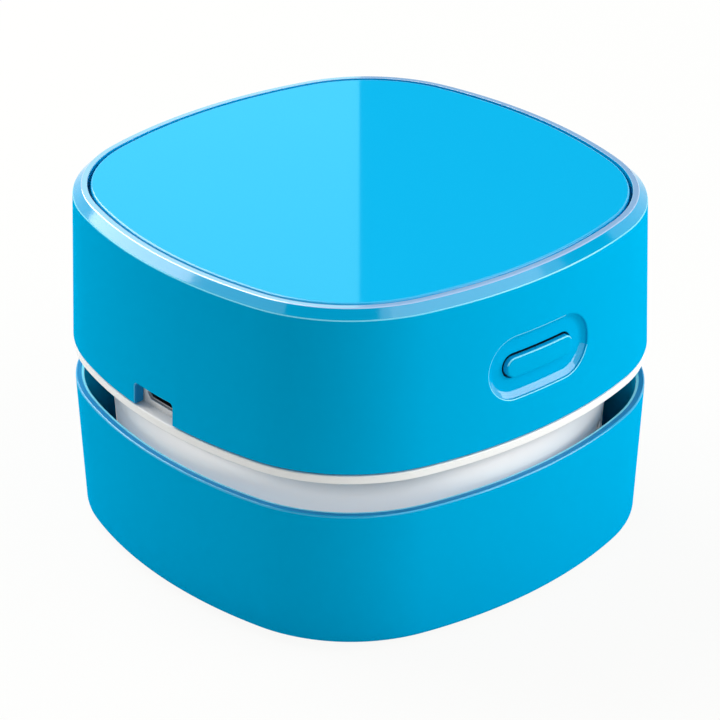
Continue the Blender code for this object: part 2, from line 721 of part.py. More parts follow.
def filter_cartridge():
    """Spoked frame, filter disc and rubber seal that lie on the bin's rim."""
    window = FRAME_RADIUS - FRAME_RIM
    frame = new_object("filter_frame", tube(FRAME_RADIUS, window, Z_FRAME, Z_FRAME_TOP, SIDES_LARGE),
                       grey_abs())
    bars = []
    for index in range(SPOKE_COUNT // 2):
        bar = block((-window - FUSE, -SPOKE_WIDTH / 2, Z_FRAME),
                    (window + FUSE, SPOKE_WIDTH / 2, Z_FRAME + SPOKE_THICKNESS))
        bmesh.ops.rotate(bar, verts=bar.verts, cent=(0, 0, 0),
                         matrix=Matrix.Rotation(index * 2 * math.pi / SPOKE_COUNT, 3, "Z"))
        bars.append(bar)
    for index, bar in enumerate(bars):
        fuse(frame, "spoke_fuse_%d" % index, bar)
    fuse(frame, "pull_fuse", rod(PULL_RADIUS, Z_FRAME - PULL_DROP, Z_FRAME + SPOKE_THICKNESS / 2,
                                 SIDES_SMALL))
    pad_low = Z_FRAME + SPOKE_THICKNESS + FIT_GAP
    new_object("filter_pad", rod(window - FIT_GAP, pad_low, pad_low + PAD_THICKNESS, SIDES_LARGE),
               material("filter felt", (0.80, 0.80, 0.76), 0.95))
    new_object("filter_seal", tube(FRAME_RADIUS - FRAME_GAP, FRAME_RADIUS - FRAME_GAP - SEAL_WIDTH,
                                   Z_SEAL, Z_SEAL + SEAL_THICKNESS, SIDES_LARGE), rubber())


def fan_housing():
    """Round silver bucket under the deck: plenum, inlet grille and exhaust slots."""
    top = Z_DECK - FIT_GAP
    wall_low, wall_high = Z_PLENUM_FLOOR, Z_PLENUM
    housing = new_object("fan_housing", turned([
        (housing_radius(Z_HOUSING), Z_HOUSING), (housing_radius(top), top),
        (housing_radius(top) - HOUSING_WALL, top),
        (housing_radius(wall_high) - HOUSING_WALL, wall_high), (EYE_RADIUS, wall_high),
        (EYE_RADIUS, wall_low), (housing_radius(wall_low) - HOUSING_WALL, wall_low),
        (housing_radius(Z_HOUSING) - HOUSING_WALL, Z_HOUSING)], SIDES_LARGE),
        material("silver grey ABS", (0.60, 0.62, 0.65), 0.28))
    reach, half = EYE_RADIUS + FUSE, GRILLE_BAR / 2
    for name, across, along in (("grille_bar_x_fuse", reach, half), ("grille_bar_y_fuse", half, reach)):
        fuse(housing, name, block((-across, -along, wall_low), (across, along, wall_high - FUSE)))
    fuse(housing, "housing_boss_fuse", join([
        rod(HOUSING_BOSS_RADIUS, wall_high - FUSE, top, SIDES_SMALL, place)
        for place in corners(HEAD_SCREW_REACH)]))
    cut(housing, "housing_screw_cut", join([
        turned([(0, wall_low - OVERRUN), (SCREW_HEAD_RADIUS + FIT_GAP, wall_low - OVERRUN),
                (SCREW_HEAD_RADIUS + FIT_GAP, wall_low + COUNTERBORE_DEPTH),
                (SCREW_RADIUS + FIT_GAP, wall_low + COUNTERBORE_DEPTH),
                (SCREW_RADIUS + FIT_GAP, top + OVERRUN), (0, top + OVERRUN)],
               SIDES_SMALL, False, place)
        for place in corners(HEAD_SCREW_REACH)]))
    slots = []
    sill = wall_high + SLOT_SILL
    outer = HOUSING_TOP_RADIUS + OVERRUN
    inner = HOUSING_BOTTOM_RADIUS - HOUSING_WALL - OVERRUN
    for corner in range(4):
        for index in range(SLOTS_PER_CORNER):
            along = (index - (SLOTS_PER_CORNER - 1) / 2) * SLOT_PITCH / HOUSING_TOP_RADIUS
            slot = block((inner, -SLOT_WIDTH / 2, sill), (outer, SLOT_WIDTH / 2, sill + SLOT_HEIGHT))
            turn = Matrix.Rotation(QUARTER / 2 + corner * QUARTER + along, 3, "Z")
            bmesh.ops.rotate(slot, verts=slot.verts, cent=(0, 0, 0), matrix=turn)
            slots.append(slot)
    cut(housing, "exhaust_slot_cut", join(slots))
    return housing


def port_outline(grow, y):
    """Micro charging port: flat top, lower corners cut off."""
    half, low, high = SOCKET_WIDTH / 2 + grow, Z_SOCKET - grow, Z_SOCKET + SOCKET_HEIGHT + grow
    chamfer = SOCKET_CHAMFER
    return [(PORT_X + x, y, z) for x, z in (
        (-half, high), (-half, low + chamfer), (-half + chamfer, low),
        (half - chamfer, low), (half, low + chamfer), (half, high))]


def bracket_face():
    """Y of the front of the deck's port bracket, just inside the shell's wall."""
    return -(shell_half(Z_SHELL + NOTCH_HEIGHT) - SHELL_WALL - FIT_GAP)


def board_front():
    """Y of the charge board's front edge, clear of the deck's curved rim."""
    rim_top = Z_DECK_TOP + DECK_RIM_HEIGHT
    side = CHARGE_BOARD_WIDTH / 2 + abs(PORT_X)
    return -shell_surface_x(side, rim_top, SHELL_WALL + DECK_RIM_WIDTH + 2 * FIT_GAP)


def board_back():
    """Y of the charge board's back edge, in front of the motor's well."""
    return -(WELL_OUTER + CHARGE_BOARD_GAP)


def motor_deck():
    """White plate between shell and cup, with the motor's well and the port bracket."""
    half = SHELL_FOOT_HALF - DECK_INSET
    rim = shell_half(Z_DECK_TOP + DECK_RIM_HEIGHT) - SHELL_WALL - FIT_GAP
    rim_top = Z_DECK_TOP + DECK_RIM_HEIGHT
    deck = new_object("motor_deck", loft([
        (half, Z_DECK), (half, Z_DECK_TOP), (rim, Z_DECK_TOP), (rim, rim_top),
        (rim - DECK_RIM_WIDTH, rim_top), (rim - DECK_RIM_WIDTH, Z_DECK_TOP)]), white_abs())
    cut(deck, "well_hole_cut", rod(WELL_RADIUS + WELL_WALL / 2, Z_DECK - OVERRUN,
                                   Z_DECK_TOP + OVERRUN, SIDES_MEDIUM))
    collar = Z_DECK_TOP + WELL_COLLAR
    hole = MOTOR_BOSS_RADIUS + FIT_GAP
    fuse(deck, "well_fuse", turned([
        (WELL_RADIUS, collar), (WELL_OUTER, collar), (WELL_OUTER, Z_WELL), (hole, Z_WELL),
        (hole, Z_WELL_FLOOR), (WELL_RADIUS, Z_WELL_FLOOR)], SIDES_MEDIUM))
    holes = [rod(SCREW_RADIUS + FIT_GAP, Z_DECK - OVERRUN, Z_DECK_TOP + OVERRUN, SIDES_SMALL, place)
             for place in corners(HEAD_SCREW_REACH)]
    holes += [rod(SCREW_RADIUS + FIT_GAP, Z_WELL - OVERRUN, Z_WELL_FLOOR + OVERRUN, SIDES_SMALL,
                  (side * MOTOR_SCREW_REACH, 0)) for side in (-1, 1)]
    cut(deck, "deck_hole_cut", join(holes))
    face = bracket_face()
    width = NOTCH_WIDTH / 2 + BRACKET_SIDE
    top = Z_SHELL + NOTCH_HEIGHT + BRACKET_HEAD
    fuse(deck, "bracket_fuse", block((PORT_X - width, face, Z_DECK_TOP - FUSE),
                                     (PORT_X + width, face + BRACKET_DEPTH, top)))
    cut(deck, "port_cut", prism(port_outline(FIT_GAP, face - OVERRUN),
                                (0, BRACKET_DEPTH + 2 * OVERRUN, 0)))
    return deck


def upper_shell():
    """Blue casing ring with a chamfered rim, button recess and charging notch."""
    edge = Z_TOP - RIM_CHAMFER
    shell = new_object("upper_shell", loft([
        (shell_half(Z_SHELL), Z_SHELL), (shell_half(edge), edge),
        (BODY_HALF - RIM_CHAMFER, Z_TOP), (CAP_OPENING_HALF, Z_TOP),
        (CAP_OPENING_HALF, Z_SEAT), (SEAT_HALF, Z_SEAT), (SEAT_HALF, Z_SEAT_UNDER),
        (shell_half(Z_SEAT_UNDER) - SHELL_WALL, Z_SEAT_UNDER),
        (shell_half(Z_SHELL) - SHELL_WALL, Z_SHELL)], closed=True), blue_abs())
    length, height = RECESS_LENGTH / 2, RECESS_HEIGHT / 2
    cut(shell, "recess_cut", pill_wall([
        (length + OVERRUN, height + OVERRUN, lambda y, z: shell_surface_x(y, z, -OVERRUN)),
        (length, height, lambda y, z: shell_surface_x(y, z, 0)),
        (length - RECESS_DEPTH, height - RECESS_DEPTH,
         lambda y, z: shell_surface_x(y, z, RECESS_DEPTH))]))
    length, height = BUTTON_LENGTH / 2 + BUTTON_GAP, BUTTON_HEIGHT / 2 + BUTTON_GAP
    cut(shell, "button_hole_cut", pill_wall([
        (length, height, lambda y, z: shell_surface_x(y, z, -OVERRUN)),
        (length, height, lambda y, z: shell_surface_x(y, z, SHELL_WALL + OVERRUN))]))
    half = NOTCH_WIDTH / 2
    notch = [(PORT_X - half, Z_SHELL - OVERRUN), (PORT_X + half, Z_SHELL - OVERRUN)]
    for side in (1, -1):
        for step in range(PILL_STEPS // 2 + 1):
            angle = QUARTER * (step if side == 1 else PILL_STEPS // 2 - step) / (PILL_STEPS // 2)
            notch.append((PORT_X + side * (half - NOTCH_ROUND + NOTCH_ROUND * math.cos(angle)),
                          Z_SHELL + NOTCH_HEIGHT - NOTCH_ROUND + NOTCH_ROUND * math.sin(angle)))
    outer = -(SHELL_FOOT_HALF + OVERRUN)
    cut(shell, "notch_cut", prism([(x, outer, z) for x, z in notch],
                                  (0, SHELL_WALL + 2 * OVERRUN, 0)))
    boss_top = Z_SHELL + SHELL_BOSS_HEIGHT
    wall_reach = max(math.hypot(x, y) for x, y in outline(shell_half(boss_top) - SHELL_WALL / 2))
    for index, (x, y) in enumerate(corners(HEAD_SCREW_REACH)):
        boss = rod(SHELL_BOSS_RADIUS, Z_SHELL, boss_top, SIDES_SMALL, (x, y))
        fuse(shell, "shell_boss_fuse_%d" % index, boss)
        rib = block((HEAD_SCREW_REACH, -SHELL_RIB_WIDTH / 2, Z_SHELL + SHELL_RIB_START),
                    (wall_reach, SHELL_RIB_WIDTH / 2, boss_top - FUSE))
        turn = Matrix.Rotation(math.atan2(y, x), 3, "Z")
        bmesh.ops.rotate(rib, verts=rib.verts, cent=(0, 0, 0), matrix=turn)
        fuse(shell, "shell_rib_fuse_%d" % index, rib)
    cut(shell, "shell_pilot_cut", join([
        rod(SCREW_RADIUS + FIT_GAP, Z_SHELL - OVERRUN, Z_SHELL + HEAD_SCREW_BITE + FIT_GAP,
            SIDES_SMALL, place)
        for place in corners(HEAD_SCREW_REACH)]))
    return shell


def top_cap():
    """Blue lid that snaps into the shell's seat."""
    under = Z_TOP - CAP_THICKNESS
    ring = SEAT_HALF - FIT_GAP
    lip_top = Z_SEAT_UNDER - FIT_GAP
    lip_low = lip_top - CAP_LIP_HEIGHT
    return new_object("top_cap", loft([
        (CAP_HALF - CAP_EDGE, Z_TOP), (CAP_HALF, Z_TOP - CAP_EDGE), (CAP_HALF, under),
        (ring, under), (ring, lip_top), (ring + CAP_LIP + FIT_GAP, lip_top),
        (ring, lip_low), (ring - CAP_RING_WIDTH, lip_low), (ring - CAP_RING_WIDTH, under)]),
        blue_abs())


def flange_front():
    """X of the button flange's front, clear of the curved wall at the flange's far end."""
    half_length = BUTTON_LENGTH / 2 + BUTTON_FLANGE
    top = Z_BUTTON + BUTTON_HEIGHT / 2 + BUTTON_FLANGE
    return shell_surface_x(half_length + abs(BUTTON_Y), top, SHELL_WALL + FIT_GAP)


def power_button():
    """Blue pill that stands out of the recess, held by a flange behind the wall."""
    length, height = BUTTON_LENGTH / 2, BUTTON_HEIGHT / 2
    depth = RECESS_DEPTH - BUTTON_PROUD
    front = flange_front()
    back = front - BUTTON_FLANGE_THICKNESS
    grown_length, grown_height = length + BUTTON_FLANGE, height + BUTTON_FLANGE
    origin = (front, BUTTON_Y, Z_BUTTON)
    return new_object("power_button", pill_wall([
        (length - BUTTON_EDGE, height - BUTTON_EDGE, lambda y, z: shell_surface_x(y, z, depth)),
        (length, height, lambda y, z: shell_surface_x(y, z, depth + BUTTON_EDGE)),
        (length, height, lambda y, z: front),
        (grown_length, grown_height, lambda y, z: front),
        (grown_length, grown_height, lambda y, z: back)]), blue_abs(), origin)


def lying(bm, x):
    """Upright turned body laid along X, at the button's place and a given X."""
    bmesh.ops.rotate(bm, verts=bm.verts, cent=(0, 0, 0), matrix=Matrix.Rotation(QUARTER, 3, "Y"))
    bmesh.ops.translate(bm, verts=bm.verts, vec=(x, BUTTON_Y, Z_BUTTON))
    return bm


def push_switch():
    """Switch body on its upright board, with the plunger that the button presses."""
    tip = flange_front() - BUTTON_FLANGE_THICKNESS - FIT_GAP
    face = tip - PLUNGER_STAND
    back = face - SWITCH_DEPTH
    size = SWITCH_SIZE / 2
    body = new_object("switch_body", block((back, BUTTON_Y - size, Z_BUTTON - size),
                                           (face, BUTTON_Y + size, Z_BUTTON + size)), black_nylon())
    bore = PLUNGER_ROOT + BUTTON_TRAVEL + FIT_GAP
    cut(body, "plunger_cut", lying(rod(PLUNGER_RADIUS + FIT_GAP, -bore, OVERRUN, SIDES_SMALL), face))
    plunger = lying(rod(PLUNGER_RADIUS, -PLUNGER_ROOT, PLUNGER_STAND, SIDES_SMALL), face)
    new_object("switch_plunger", plunger, material("white acetal", (0.8, 0.8, 0.78), 0.4),
               (face, BUTTON_Y, Z_BUTTON))
    board_front = back - FIT_GAP
    new_object("switch_board", block(
        (board_front - SWITCH_BOARD_THICKNESS, BUTTON_Y - SWITCH_BOARD_WIDTH / 2, Z_BOARD),
        (board_front, BUTTON_Y + SWITCH_BOARD_WIDTH / 2, Z_BOARD + SWITCH_BOARD_HEIGHT)),
        fibreglass())
    return board_front - SWITCH_BOARD_THICKNESS


def charging_port():
    """Charge board with the port's steel shell, its tongue and a status light."""
    front = bracket_face() + RUN_GAP
    socket = new_object("port_socket", prism(port_outline(0, front), (0, SOCKET_DEPTH, 0)), steel())
    cut(socket, "socket_bore_cut", prism(port_outline(-SOCKET_WALL, front - OVERRUN),
                                         (0, SOCKET_DEPTH - SOCKET_BACK + OVERRUN, 0)))
    back = front + SOCKET_DEPTH - SOCKET_BACK - FIT_GAP
    middle = Z_SOCKET + SOCKET_HEIGHT / 2
    new_object("port_tongue", block(
        (PORT_X - TONGUE_WIDTH / 2, back - TONGUE_LENGTH, middle - TONGUE_THICKNESS / 2),
        (PORT_X + TONGUE_WIDTH / 2, back, middle + TONGUE_THICKNESS / 2)), black_nylon())
    start = board_front()
    top = Z_BOARD + CHARGE_BOARD_THICKNESS
    new_object("charge_board", block(
        (PORT_X - CHARGE_BOARD_WIDTH / 2, start, Z_BOARD),
        (PORT_X + CHARGE_BOARD_WIDTH / 2, board_back(), top)), fibreglass())
    light = PORT_X + CHARGE_BOARD_WIDTH / 2 - LED_EDGE
    new_object("charge_led", block(
        (light - LED_SIZE / 2, start + FIT_GAP, top + FIT_GAP),
        (light + LED_SIZE / 2, start + FIT_GAP + LED_SIZE, top + FIT_GAP + LED_HEIGHT)),
        material("clear resin", (0.85, 0.35, 0.25), 0.1))


def motor():
    """Brushed motor in the deck's well: can, end cap, bushes, magnets, armature and shaft."""
    boss_low = Z_MOTOR - MOTOR_BOSS_HEIGHT
    pocket = BUSH_RADIUS + FIT_GAP
    inner = MOTOR_RADIUS - MOTOR_WALL
    bush_top = boss_low + FIT_GAP + BUSH_LENGTH
    can = new_object("motor_can", turned([
        (SHAFT_RADIUS + FIT_GAP, boss_low - FIT_GAP), (MOTOR_BOSS_RADIUS, boss_low - FIT_GAP),
        (MOTOR_BOSS_RADIUS, Z_MOTOR), (MOTOR_RADIUS, Z_MOTOR), (MOTOR_RADIUS, Z_MOTOR_TOP),
        (inner, Z_MOTOR_TOP), (inner, Z_MOTOR + MOTOR_WALL), (pocket, Z_MOTOR + MOTOR_WALL),
        (pocket, boss_low), (SHAFT_RADIUS + FIT_GAP, boss_low)], SIDES_MEDIUM), steel())
    cut(can, "motor_thread_cut", join([
        rod(SCREW_RADIUS + FIT_GAP, Z_MOTOR - OVERRUN, Z_MOTOR + MOTOR_WALL + OVERRUN, SIDES_SMALL,
            (side * MOTOR_SCREW_REACH, 0)) for side in (-1, 1)]))
    new_object("motor_bush_lower", tube(BUSH_RADIUS, SHAFT_RADIUS + RUN_GAP, boss_low + FIT_GAP,
                                        bush_top, SIDES_SMALL),
               material("sintered bronze", (0.42, 0.24, 0.10), 0.45, 1.0))
    cap_low = Z_MOTOR_TOP - END_CAP_THICKNESS
    cap_radius = inner - FIT_GAP
    tail = Z_MOTOR_TOP + SHAFT_TAIL
    cap = new_object("motor_end_cap", turned([
        (pocket, Z_BUSH - FIT_GAP), (pocket + MOTOR_WALL, Z_BUSH - FIT_GAP),
        (pocket + MOTOR_WALL, cap_low), (cap_radius, cap_low),
        (cap_radius, Z_MOTOR_TOP + FIT_GAP), (pocket, Z_MOTOR_TOP + FIT_GAP)],
        SIDES_MEDIUM), black_nylon())
    fuse(cap, "terminal_fuse", join([
        block((side * TERMINAL_REACH - TERMINAL_WIDTH / 2, -TERMINAL_THICKNESS / 2, Z_MOTOR_TOP),
              (side * TERMINAL_REACH + TERMINAL_WIDTH / 2, TERMINAL_THICKNESS / 2,
               Z_MOTOR_TOP + TERMINAL_HEIGHT)) for side in (-1, 1)]))
    new_object("motor_bush_upper", tube(BUSH_RADIUS, SHAFT_RADIUS + RUN_GAP, Z_BUSH,
                                        Z_MOTOR_TOP, SIDES_SMALL),
               material("sintered bronze", (0.42, 0.24, 0.10), 0.45, 1.0))
    magnet_low = Z_ARMATURE - MAGNET_OVERHANG
    magnet_length = Z_ARMATURE_TOP - Z_ARMATURE + 2 * MAGNET_OVERHANG
    outer = inner - FIT_GAP
    for name, middle in (("magnet_left", math.pi), ("magnet_right", 0)):
        arc = sector(outer - MAGNET_THICKNESS, outer, middle, MAGNET_HALF_ANGLE, magnet_low)
        new_object(name, prism(arc, (0, 0, magnet_length)),
                   material("dark ferrite", (0.05, 0.05, 0.055), 0.6))
    rotor(outer - MAGNET_THICKNESS - ARMATURE_GAP, tail)
    new_object("motor_gasket", tube(WELL_RADIUS - FIT_GAP, WELL_RADIUS - FIT_GAP - GASKET_WIDTH,
                                    Z_GASKET, Z_GASKET + GASKET_THICKNESS, SIDES_MEDIUM), rubber())
    for name, side in (("motor_screw_left", -1), ("motor_screw_right", 1)):
        screw(name, (side * MOTOR_SCREW_REACH, 0), Z_WELL - FIT_GAP - SCREW_HEAD_HEIGHT,
              Z_MOTOR + MOTOR_WALL + MOTOR_SCREW_BITE)


def sector(inner, outer, middle, half_angle, z):
    """Flat ring sector at a height."""
    steps = PILL_STEPS
    points = []
    for radius, direction in ((outer, 1), (inner, -1)):
        for step in range(steps + 1):
            angle = middle + direction * half_angle * (2 * step / steps - 1)
            points.append((radius * math.cos(angle), radius * math.sin(angle), z))
    return points


def rotor(radius, tail):
    """Shaft with the armature, the commutator and the impeller pressed on it."""
    low, high = Z_ARMATURE, Z_ARMATURE_TOP
    hub_low = Z_IMPELLER_TOP - HUB_DROP
    new_object("motor_shaft", rod(SHAFT_RADIUS, hub_low + HUB_CLOSURE, tail, SIDES_SMALL), steel())
    hole = SHAFT_RADIUS + RUN_GAP
    armature = new_object("motor_armature", tube(CORE_RADIUS, hole, low, high, SIDES_SMALL),
                          material("electrical steel", (0.30, 0.30, 0.31), 0.5, 1.0))
    for index in range(3):
        middle = index * 2 * math.pi / 3
        neck = block((CORE_RADIUS - FUSE, -POLE_NECK_HALF, low + FUSE / 2),
                     (radius - POLE_TIP + FUSE, POLE_NECK_HALF, high - FUSE / 2))
        turn = Matrix.Rotation(middle, 3, "Z")
        bmesh.ops.rotate(neck, verts=neck.verts, cent=(0, 0, 0), matrix=turn)
        fuse(armature, "pole_neck_fuse_%d" % index, neck)
        tip = prism(sector(radius - POLE_TIP, radius, middle, POLE_HALF_ANGLE, low),
                    (0, 0, high - low))
        fuse(armature, "pole_tip_fuse_%d" % index, tip)
        reach = POLE_NECK_HALF + FIT_GAP
        coil_inner = CORE_RADIUS + 2 * FIT_GAP
        coil_outer = math.sqrt((radius - POLE_TIP - FIT_GAP) ** 2 - (reach + COIL_THICKNESS) ** 2)
        coil = block((coil_inner, -reach - COIL_THICKNESS, low - COIL_THICKNESS - FIT_GAP),
                     (coil_outer, reach + COIL_THICKNESS, high + COIL_THICKNESS + FIT_GAP))
        bmesh.ops.rotate(coil, verts=coil.verts, cent=(0, 0, 0), matrix=turn)
        winding = new_object("armature_coil_%d" % (index + 1), coil, copper())
        window = block((coil_inner - OVERRUN, -reach, low - FIT_GAP),
                       (coil_outer + OVERRUN, reach, high + FIT_GAP))
        bmesh.ops.rotate(window, verts=window.verts, cent=(0, 0, 0), matrix=turn)
        cut(winding, "coil_window_cut_%d" % index, window)
    new_object("commutator", tube(COMMUTATOR_RADIUS, hole, Z_COMMUTATOR,
                                  Z_COMMUTATOR + COMMUTATOR_LENGTH, SIDES_SMALL), copper())
    impeller(hub_low, hole)


def impeller(hub_low, hole):
    """Nylon fan wheel: disc above, swept blades below, closed hub on the shaft's end."""
    disc_low = Z_IMPELLER_TOP - IMPELLER_DISC
    hub_top = Z_IMPELLER_TOP + HUB_TOP
    wheel = new_object("impeller", turned([
        (0, hub_low), (HUB_RADIUS, hub_low), (HUB_RADIUS, disc_low), (IMPELLER_RADIUS, disc_low),
        (IMPELLER_RADIUS, Z_IMPELLER_TOP), (HUB_RADIUS, Z_IMPELLER_TOP), (HUB_RADIUS, hub_top),
        (hole, hub_top), (hole, hub_low + HUB_CLOSURE - FIT_GAP),
        (0, hub_low + HUB_CLOSURE - FIT_GAP)], SIDES_MEDIUM, False), black_nylon())
    blades = []
    outer = IMPELLER_RADIUS - BLADE_OUTER_INSET
    for index in range(BLADE_COUNT):
        start = index * 2 * math.pi / BLADE_COUNT
        left, right = [], []
        for step in range(BLADE_STEPS + 1):
            share = step / BLADE_STEPS
            radius = BLADE_INNER + (outer - BLADE_INNER) * share
            angle = start - BLADE_SWEEP * share
            half = math.atan2(BLADE_THICKNESS / 2, radius)
            left.append((radius * math.cos(angle + half), radius * math.sin(angle + half), Z_BLADE))
            right.append((radius * math.cos(angle - half), radius * math.sin(angle - half), Z_BLADE))
        blades.append(prism(left + right[::-1], (0, 0, disc_low + IMPELLER_DISC / 2 - Z_BLADE)))
    fuse(wheel, "blade_fuse", join(blades))
    return wheel


def battery():
    """Lithium cell lying along Y on a foam pad, with a welded nickel tab at each end."""
    half = BATTERY_HALF
    cell = turned([
        (0, -half), (BATTERY_RADIUS - BATTERY_EDGE, -half), (BATTERY_RADIUS, BATTERY_EDGE - half),
        (BATTERY_RADIUS, half - BATTERY_EDGE), (BATTERY_RADIUS - BATTERY_EDGE, half),
        (BATTERY_BUTTON_RADIUS, half), (BATTERY_BUTTON_RADIUS, half + BATTERY_BUTTON_HEIGHT),
        (0, half + BATTERY_BUTTON_HEIGHT)], SIDES_MEDIUM, False)
    bmesh.ops.rotate(cell, verts=cell.verts, cent=(0, 0, 0), matrix=Matrix.Rotation(-QUARTER, 3, "X"))
    bmesh.ops.translate(cell, verts=cell.verts, vec=(BATTERY_X, 0, Z_BATTERY))
    new_object("battery_cell", cell, material("shrink sleeve", (0.04, 0.16, 0.10), 0.35))
    pad_low = Z_DECK_TOP + FIT_GAP
    new_object("battery_pad", block(
        (BATTERY_X - BATTERY_PAD_WIDTH / 2, -half, pad_low),
        (BATTERY_X + BATTERY_PAD_WIDTH / 2, half, pad_low + BATTERY_PAD_THICKNESS)),
        material("black foam", (0.03, 0.03, 0.03), 0.95))
    nickel = material("nickel strip", (0.66, 0.63, 0.58), 0.3, 1.0)
    for name, side, end in (("battery_tab_minus", -1, half),
                            ("battery_tab_plus", 1, half + BATTERY_BUTTON_HEIGHT)):
        near, far = side * (end + FIT_GAP), side * (end + FIT_GAP + BATTERY_TAB_THICKNESS)
        new_object(name, block(
            (BATTERY_X - BATTERY_TAB_WIDTH / 2, min(near, far), Z_BATTERY - BATTERY_TAB_HEIGHT / 2),
            (BATTERY_X + BATTERY_TAB_WIDTH / 2, max(near, far), Z_BATTERY + BATTERY_TAB_HEIGHT / 2)),
            nickel)


def smooth_path(points):
    """Points read from a smooth curve through the given ones, straight in its end stretches."""
    path = [points[0]]
    for before, start, end, after in zip(points, points[1:], points[2:], points[3:]):
        for step in range(WIRE_STEPS):
            t = step / WIRE_STEPS
            path.append(0.5 * (2 * start + (end - before) * t
                               + (2 * before - 5 * start + 4 * end - after) * t ** 2
                               + (3 * start - before - 3 * end + after) * t ** 3))
    return path + points[-2:]


def wire(name, points, colour):
    """Insulated wire on a smooth curve through the points, with flat ends."""
    curve = bpy.data.curves.new(name, "CURVE")
    curve.dimensions = "3D"
    curve.bevel_depth = WIRE_RADIUS
    curve.bevel_resolution = 1
    curve.use_fill_caps = True
    path = smooth_path(points)
    spline = curve.splines.new("POLY")
    spline.points.add(len(path) - 1)
    for target, point in zip(spline.points, path):
        target.co = (*point, 1.0)
    curve.materials.append(material("wire sleeve " + name, colour, 0.4))
    obj = bpy.data.objects.new(name, curve)
    bpy.context.scene.collection.objects.link(obj)
    return obj


def onto_board(across_share, back_share):
    """Last two points of a wire: above a pad of the charge board, then down on it."""
    x = PORT_X + across_share * CHARGE_BOARD_WIDTH
    y = board_back() + back_share * (board_front() - board_back())
    z = Z_BOARD + CHARGE_BOARD_THICKNESS + FIT_GAP
    return [Vector((x, y, z + WIRE_RISE)), Vector((x, y, z))]


def battery_wires():
    """Leads from the cell's tabs, one of them round the motor's well."""
    lane = Z_DECK_TOP + WIRE_LIFT + WIRE_RADIUS
    channel = -(WELL_OUTER + WIRE_LANE)
    between = (BATTERY_X + channel) / 2
    half = BATTERY_HALF
    step = BATTERY_TAB_HEIGHT / 4
    plus = half + BATTERY_BUTTON_HEIGHT + 2 * FIT_GAP + BATTERY_TAB_THICKNESS
    minus = -(half + 2 * FIT_GAP + BATTERY_TAB_THICKNESS)
    over, pad = onto_board(*PLUS_PAD_SHARES)
    wire("battery_wire_plus", [
        Vector((BATTERY_X, plus, Z_BATTERY - step)),
        Vector((BATTERY_X, plus + WIRE_RISE, Z_BATTERY - step)),
        Vector((between, plus, lane + WIRE_RISE)),
        Vector((channel, half * CHANNEL_SHARES[0], lane)),
        Vector((channel, half * CHANNEL_SHARES[1], lane)),
        Vector(((channel + over.x) / 2, over.y + WIRE_LANE, over.z)), over, pad],
        (0.60, 0.02, 0.02))
    over, pad = onto_board(*MINUS_PAD_SHARES)
    wire("battery_wire_minus", [
        Vector((BATTERY_X, minus, Z_BATTERY - step)),
        Vector((BATTERY_X, minus - WIRE_RISE, Z_BATTERY - step)),
        Vector((channel, minus, lane + WIRE_RISE)),
        Vector(((channel + over.x) / 2, over.y, over.z)), over, pad],
        (0.02, 0.02, 0.02))


def motor_wires():
    """Leads from the motor's terminals, down beside its can."""
    top = Z_MOTOR_TOP + TERMINAL_HEIGHT
    aside = -(WELL_OUTER + WIRE_LANE)
    for name, side, shares, colour in (
            ("motor_wire_plus", 1, MOTOR_PLUS_PAD_SHARES, (0.60, 0.02, 0.02)),
            ("motor_wire_minus", -1, MOTOR_MINUS_PAD_SHARES, (0.02, 0.02, 0.02))):
        x = side * TERMINAL_REACH
        over, pad = onto_board(*shares)
        wire(name, [
            Vector((x, -TERMINAL_THICKNESS / 2 - FIT_GAP, top)),
            Vector((x, -TERMINAL_THICKNESS / 2 - FIT_GAP - WIRE_RISE, top)),
            Vector((x, -MOTOR_RADIUS, top)),
            Vector((x, aside, top - WIRE_LANE)),
            Vector(((x + over.x) / 2, aside, (top + over.z) / 2)),
            Vector((over.x, aside, over.z + WIRE_LANE)), over, pad], colour)


def switch_wires(board_back):
    """Leads from the switch board's back, across the deck."""
    for name, share, shares, colour in (
            ("switch_wire_left", -SWITCH_PAD_SHARE, SWITCH_LEFT_PAD_SHARES, (0.70, 0.70, 0.68)),
            ("switch_wire_right", SWITCH_PAD_SHARE, SWITCH_RIGHT_PAD_SHARES, (0.65, 0.50, 0.03))):
        y = BUTTON_Y + share * SWITCH_BOARD_WIDTH
        x = board_back - FIT_GAP
        z = Z_BOARD + SWITCH_PAD_RISE
        over, pad = onto_board(*shares)
        wire(name, [
            Vector((x, y, z)), Vector((x - WIRE_RISE, y, z)),
            Vector(((x + over.x) / 2, (y + over.y) / 2, over.z)), over, pad], colour)


def build():
    clear_scene()
    lower_shell()
    base_plate()
    brush_strip("brush_strip_front", -1)
    brush_strip("brush_strip_rear", 1)
    for index, place in enumerate(corners(foot_reach())):
        glide_foot("glide_foot_%d" % (index + 1), place)
    for index, place in enumerate(corners(cup_boss_reach())):
        screw("base_screw_%d" % (index + 1), place, Z_CUP, Z_FLOOR + BASE_SCREW_BITE)
    inlet_duct()
    filter_cartridge()
    fan_housing()
    motor_deck()
    upper_shell()
    top_cap()
    for index, place in enumerate(corners(HEAD_SCREW_REACH)):
        head_low = Z_PLENUM_FLOOR + COUNTERBORE_DEPTH - FIT_GAP - SCREW_HEAD_HEIGHT
        screw("head_screw_%d" % (index + 1), place, head_low, Z_SHELL + HEAD_SCREW_BITE)
    power_button()
    switch_back = push_switch()
    charging_port()
    motor()
    battery()
    battery_wires()
    motor_wires()
    switch_wires(switch_back)


build()
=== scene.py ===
import math

import bmesh
import bpy
from mathutils import Matrix, Vector


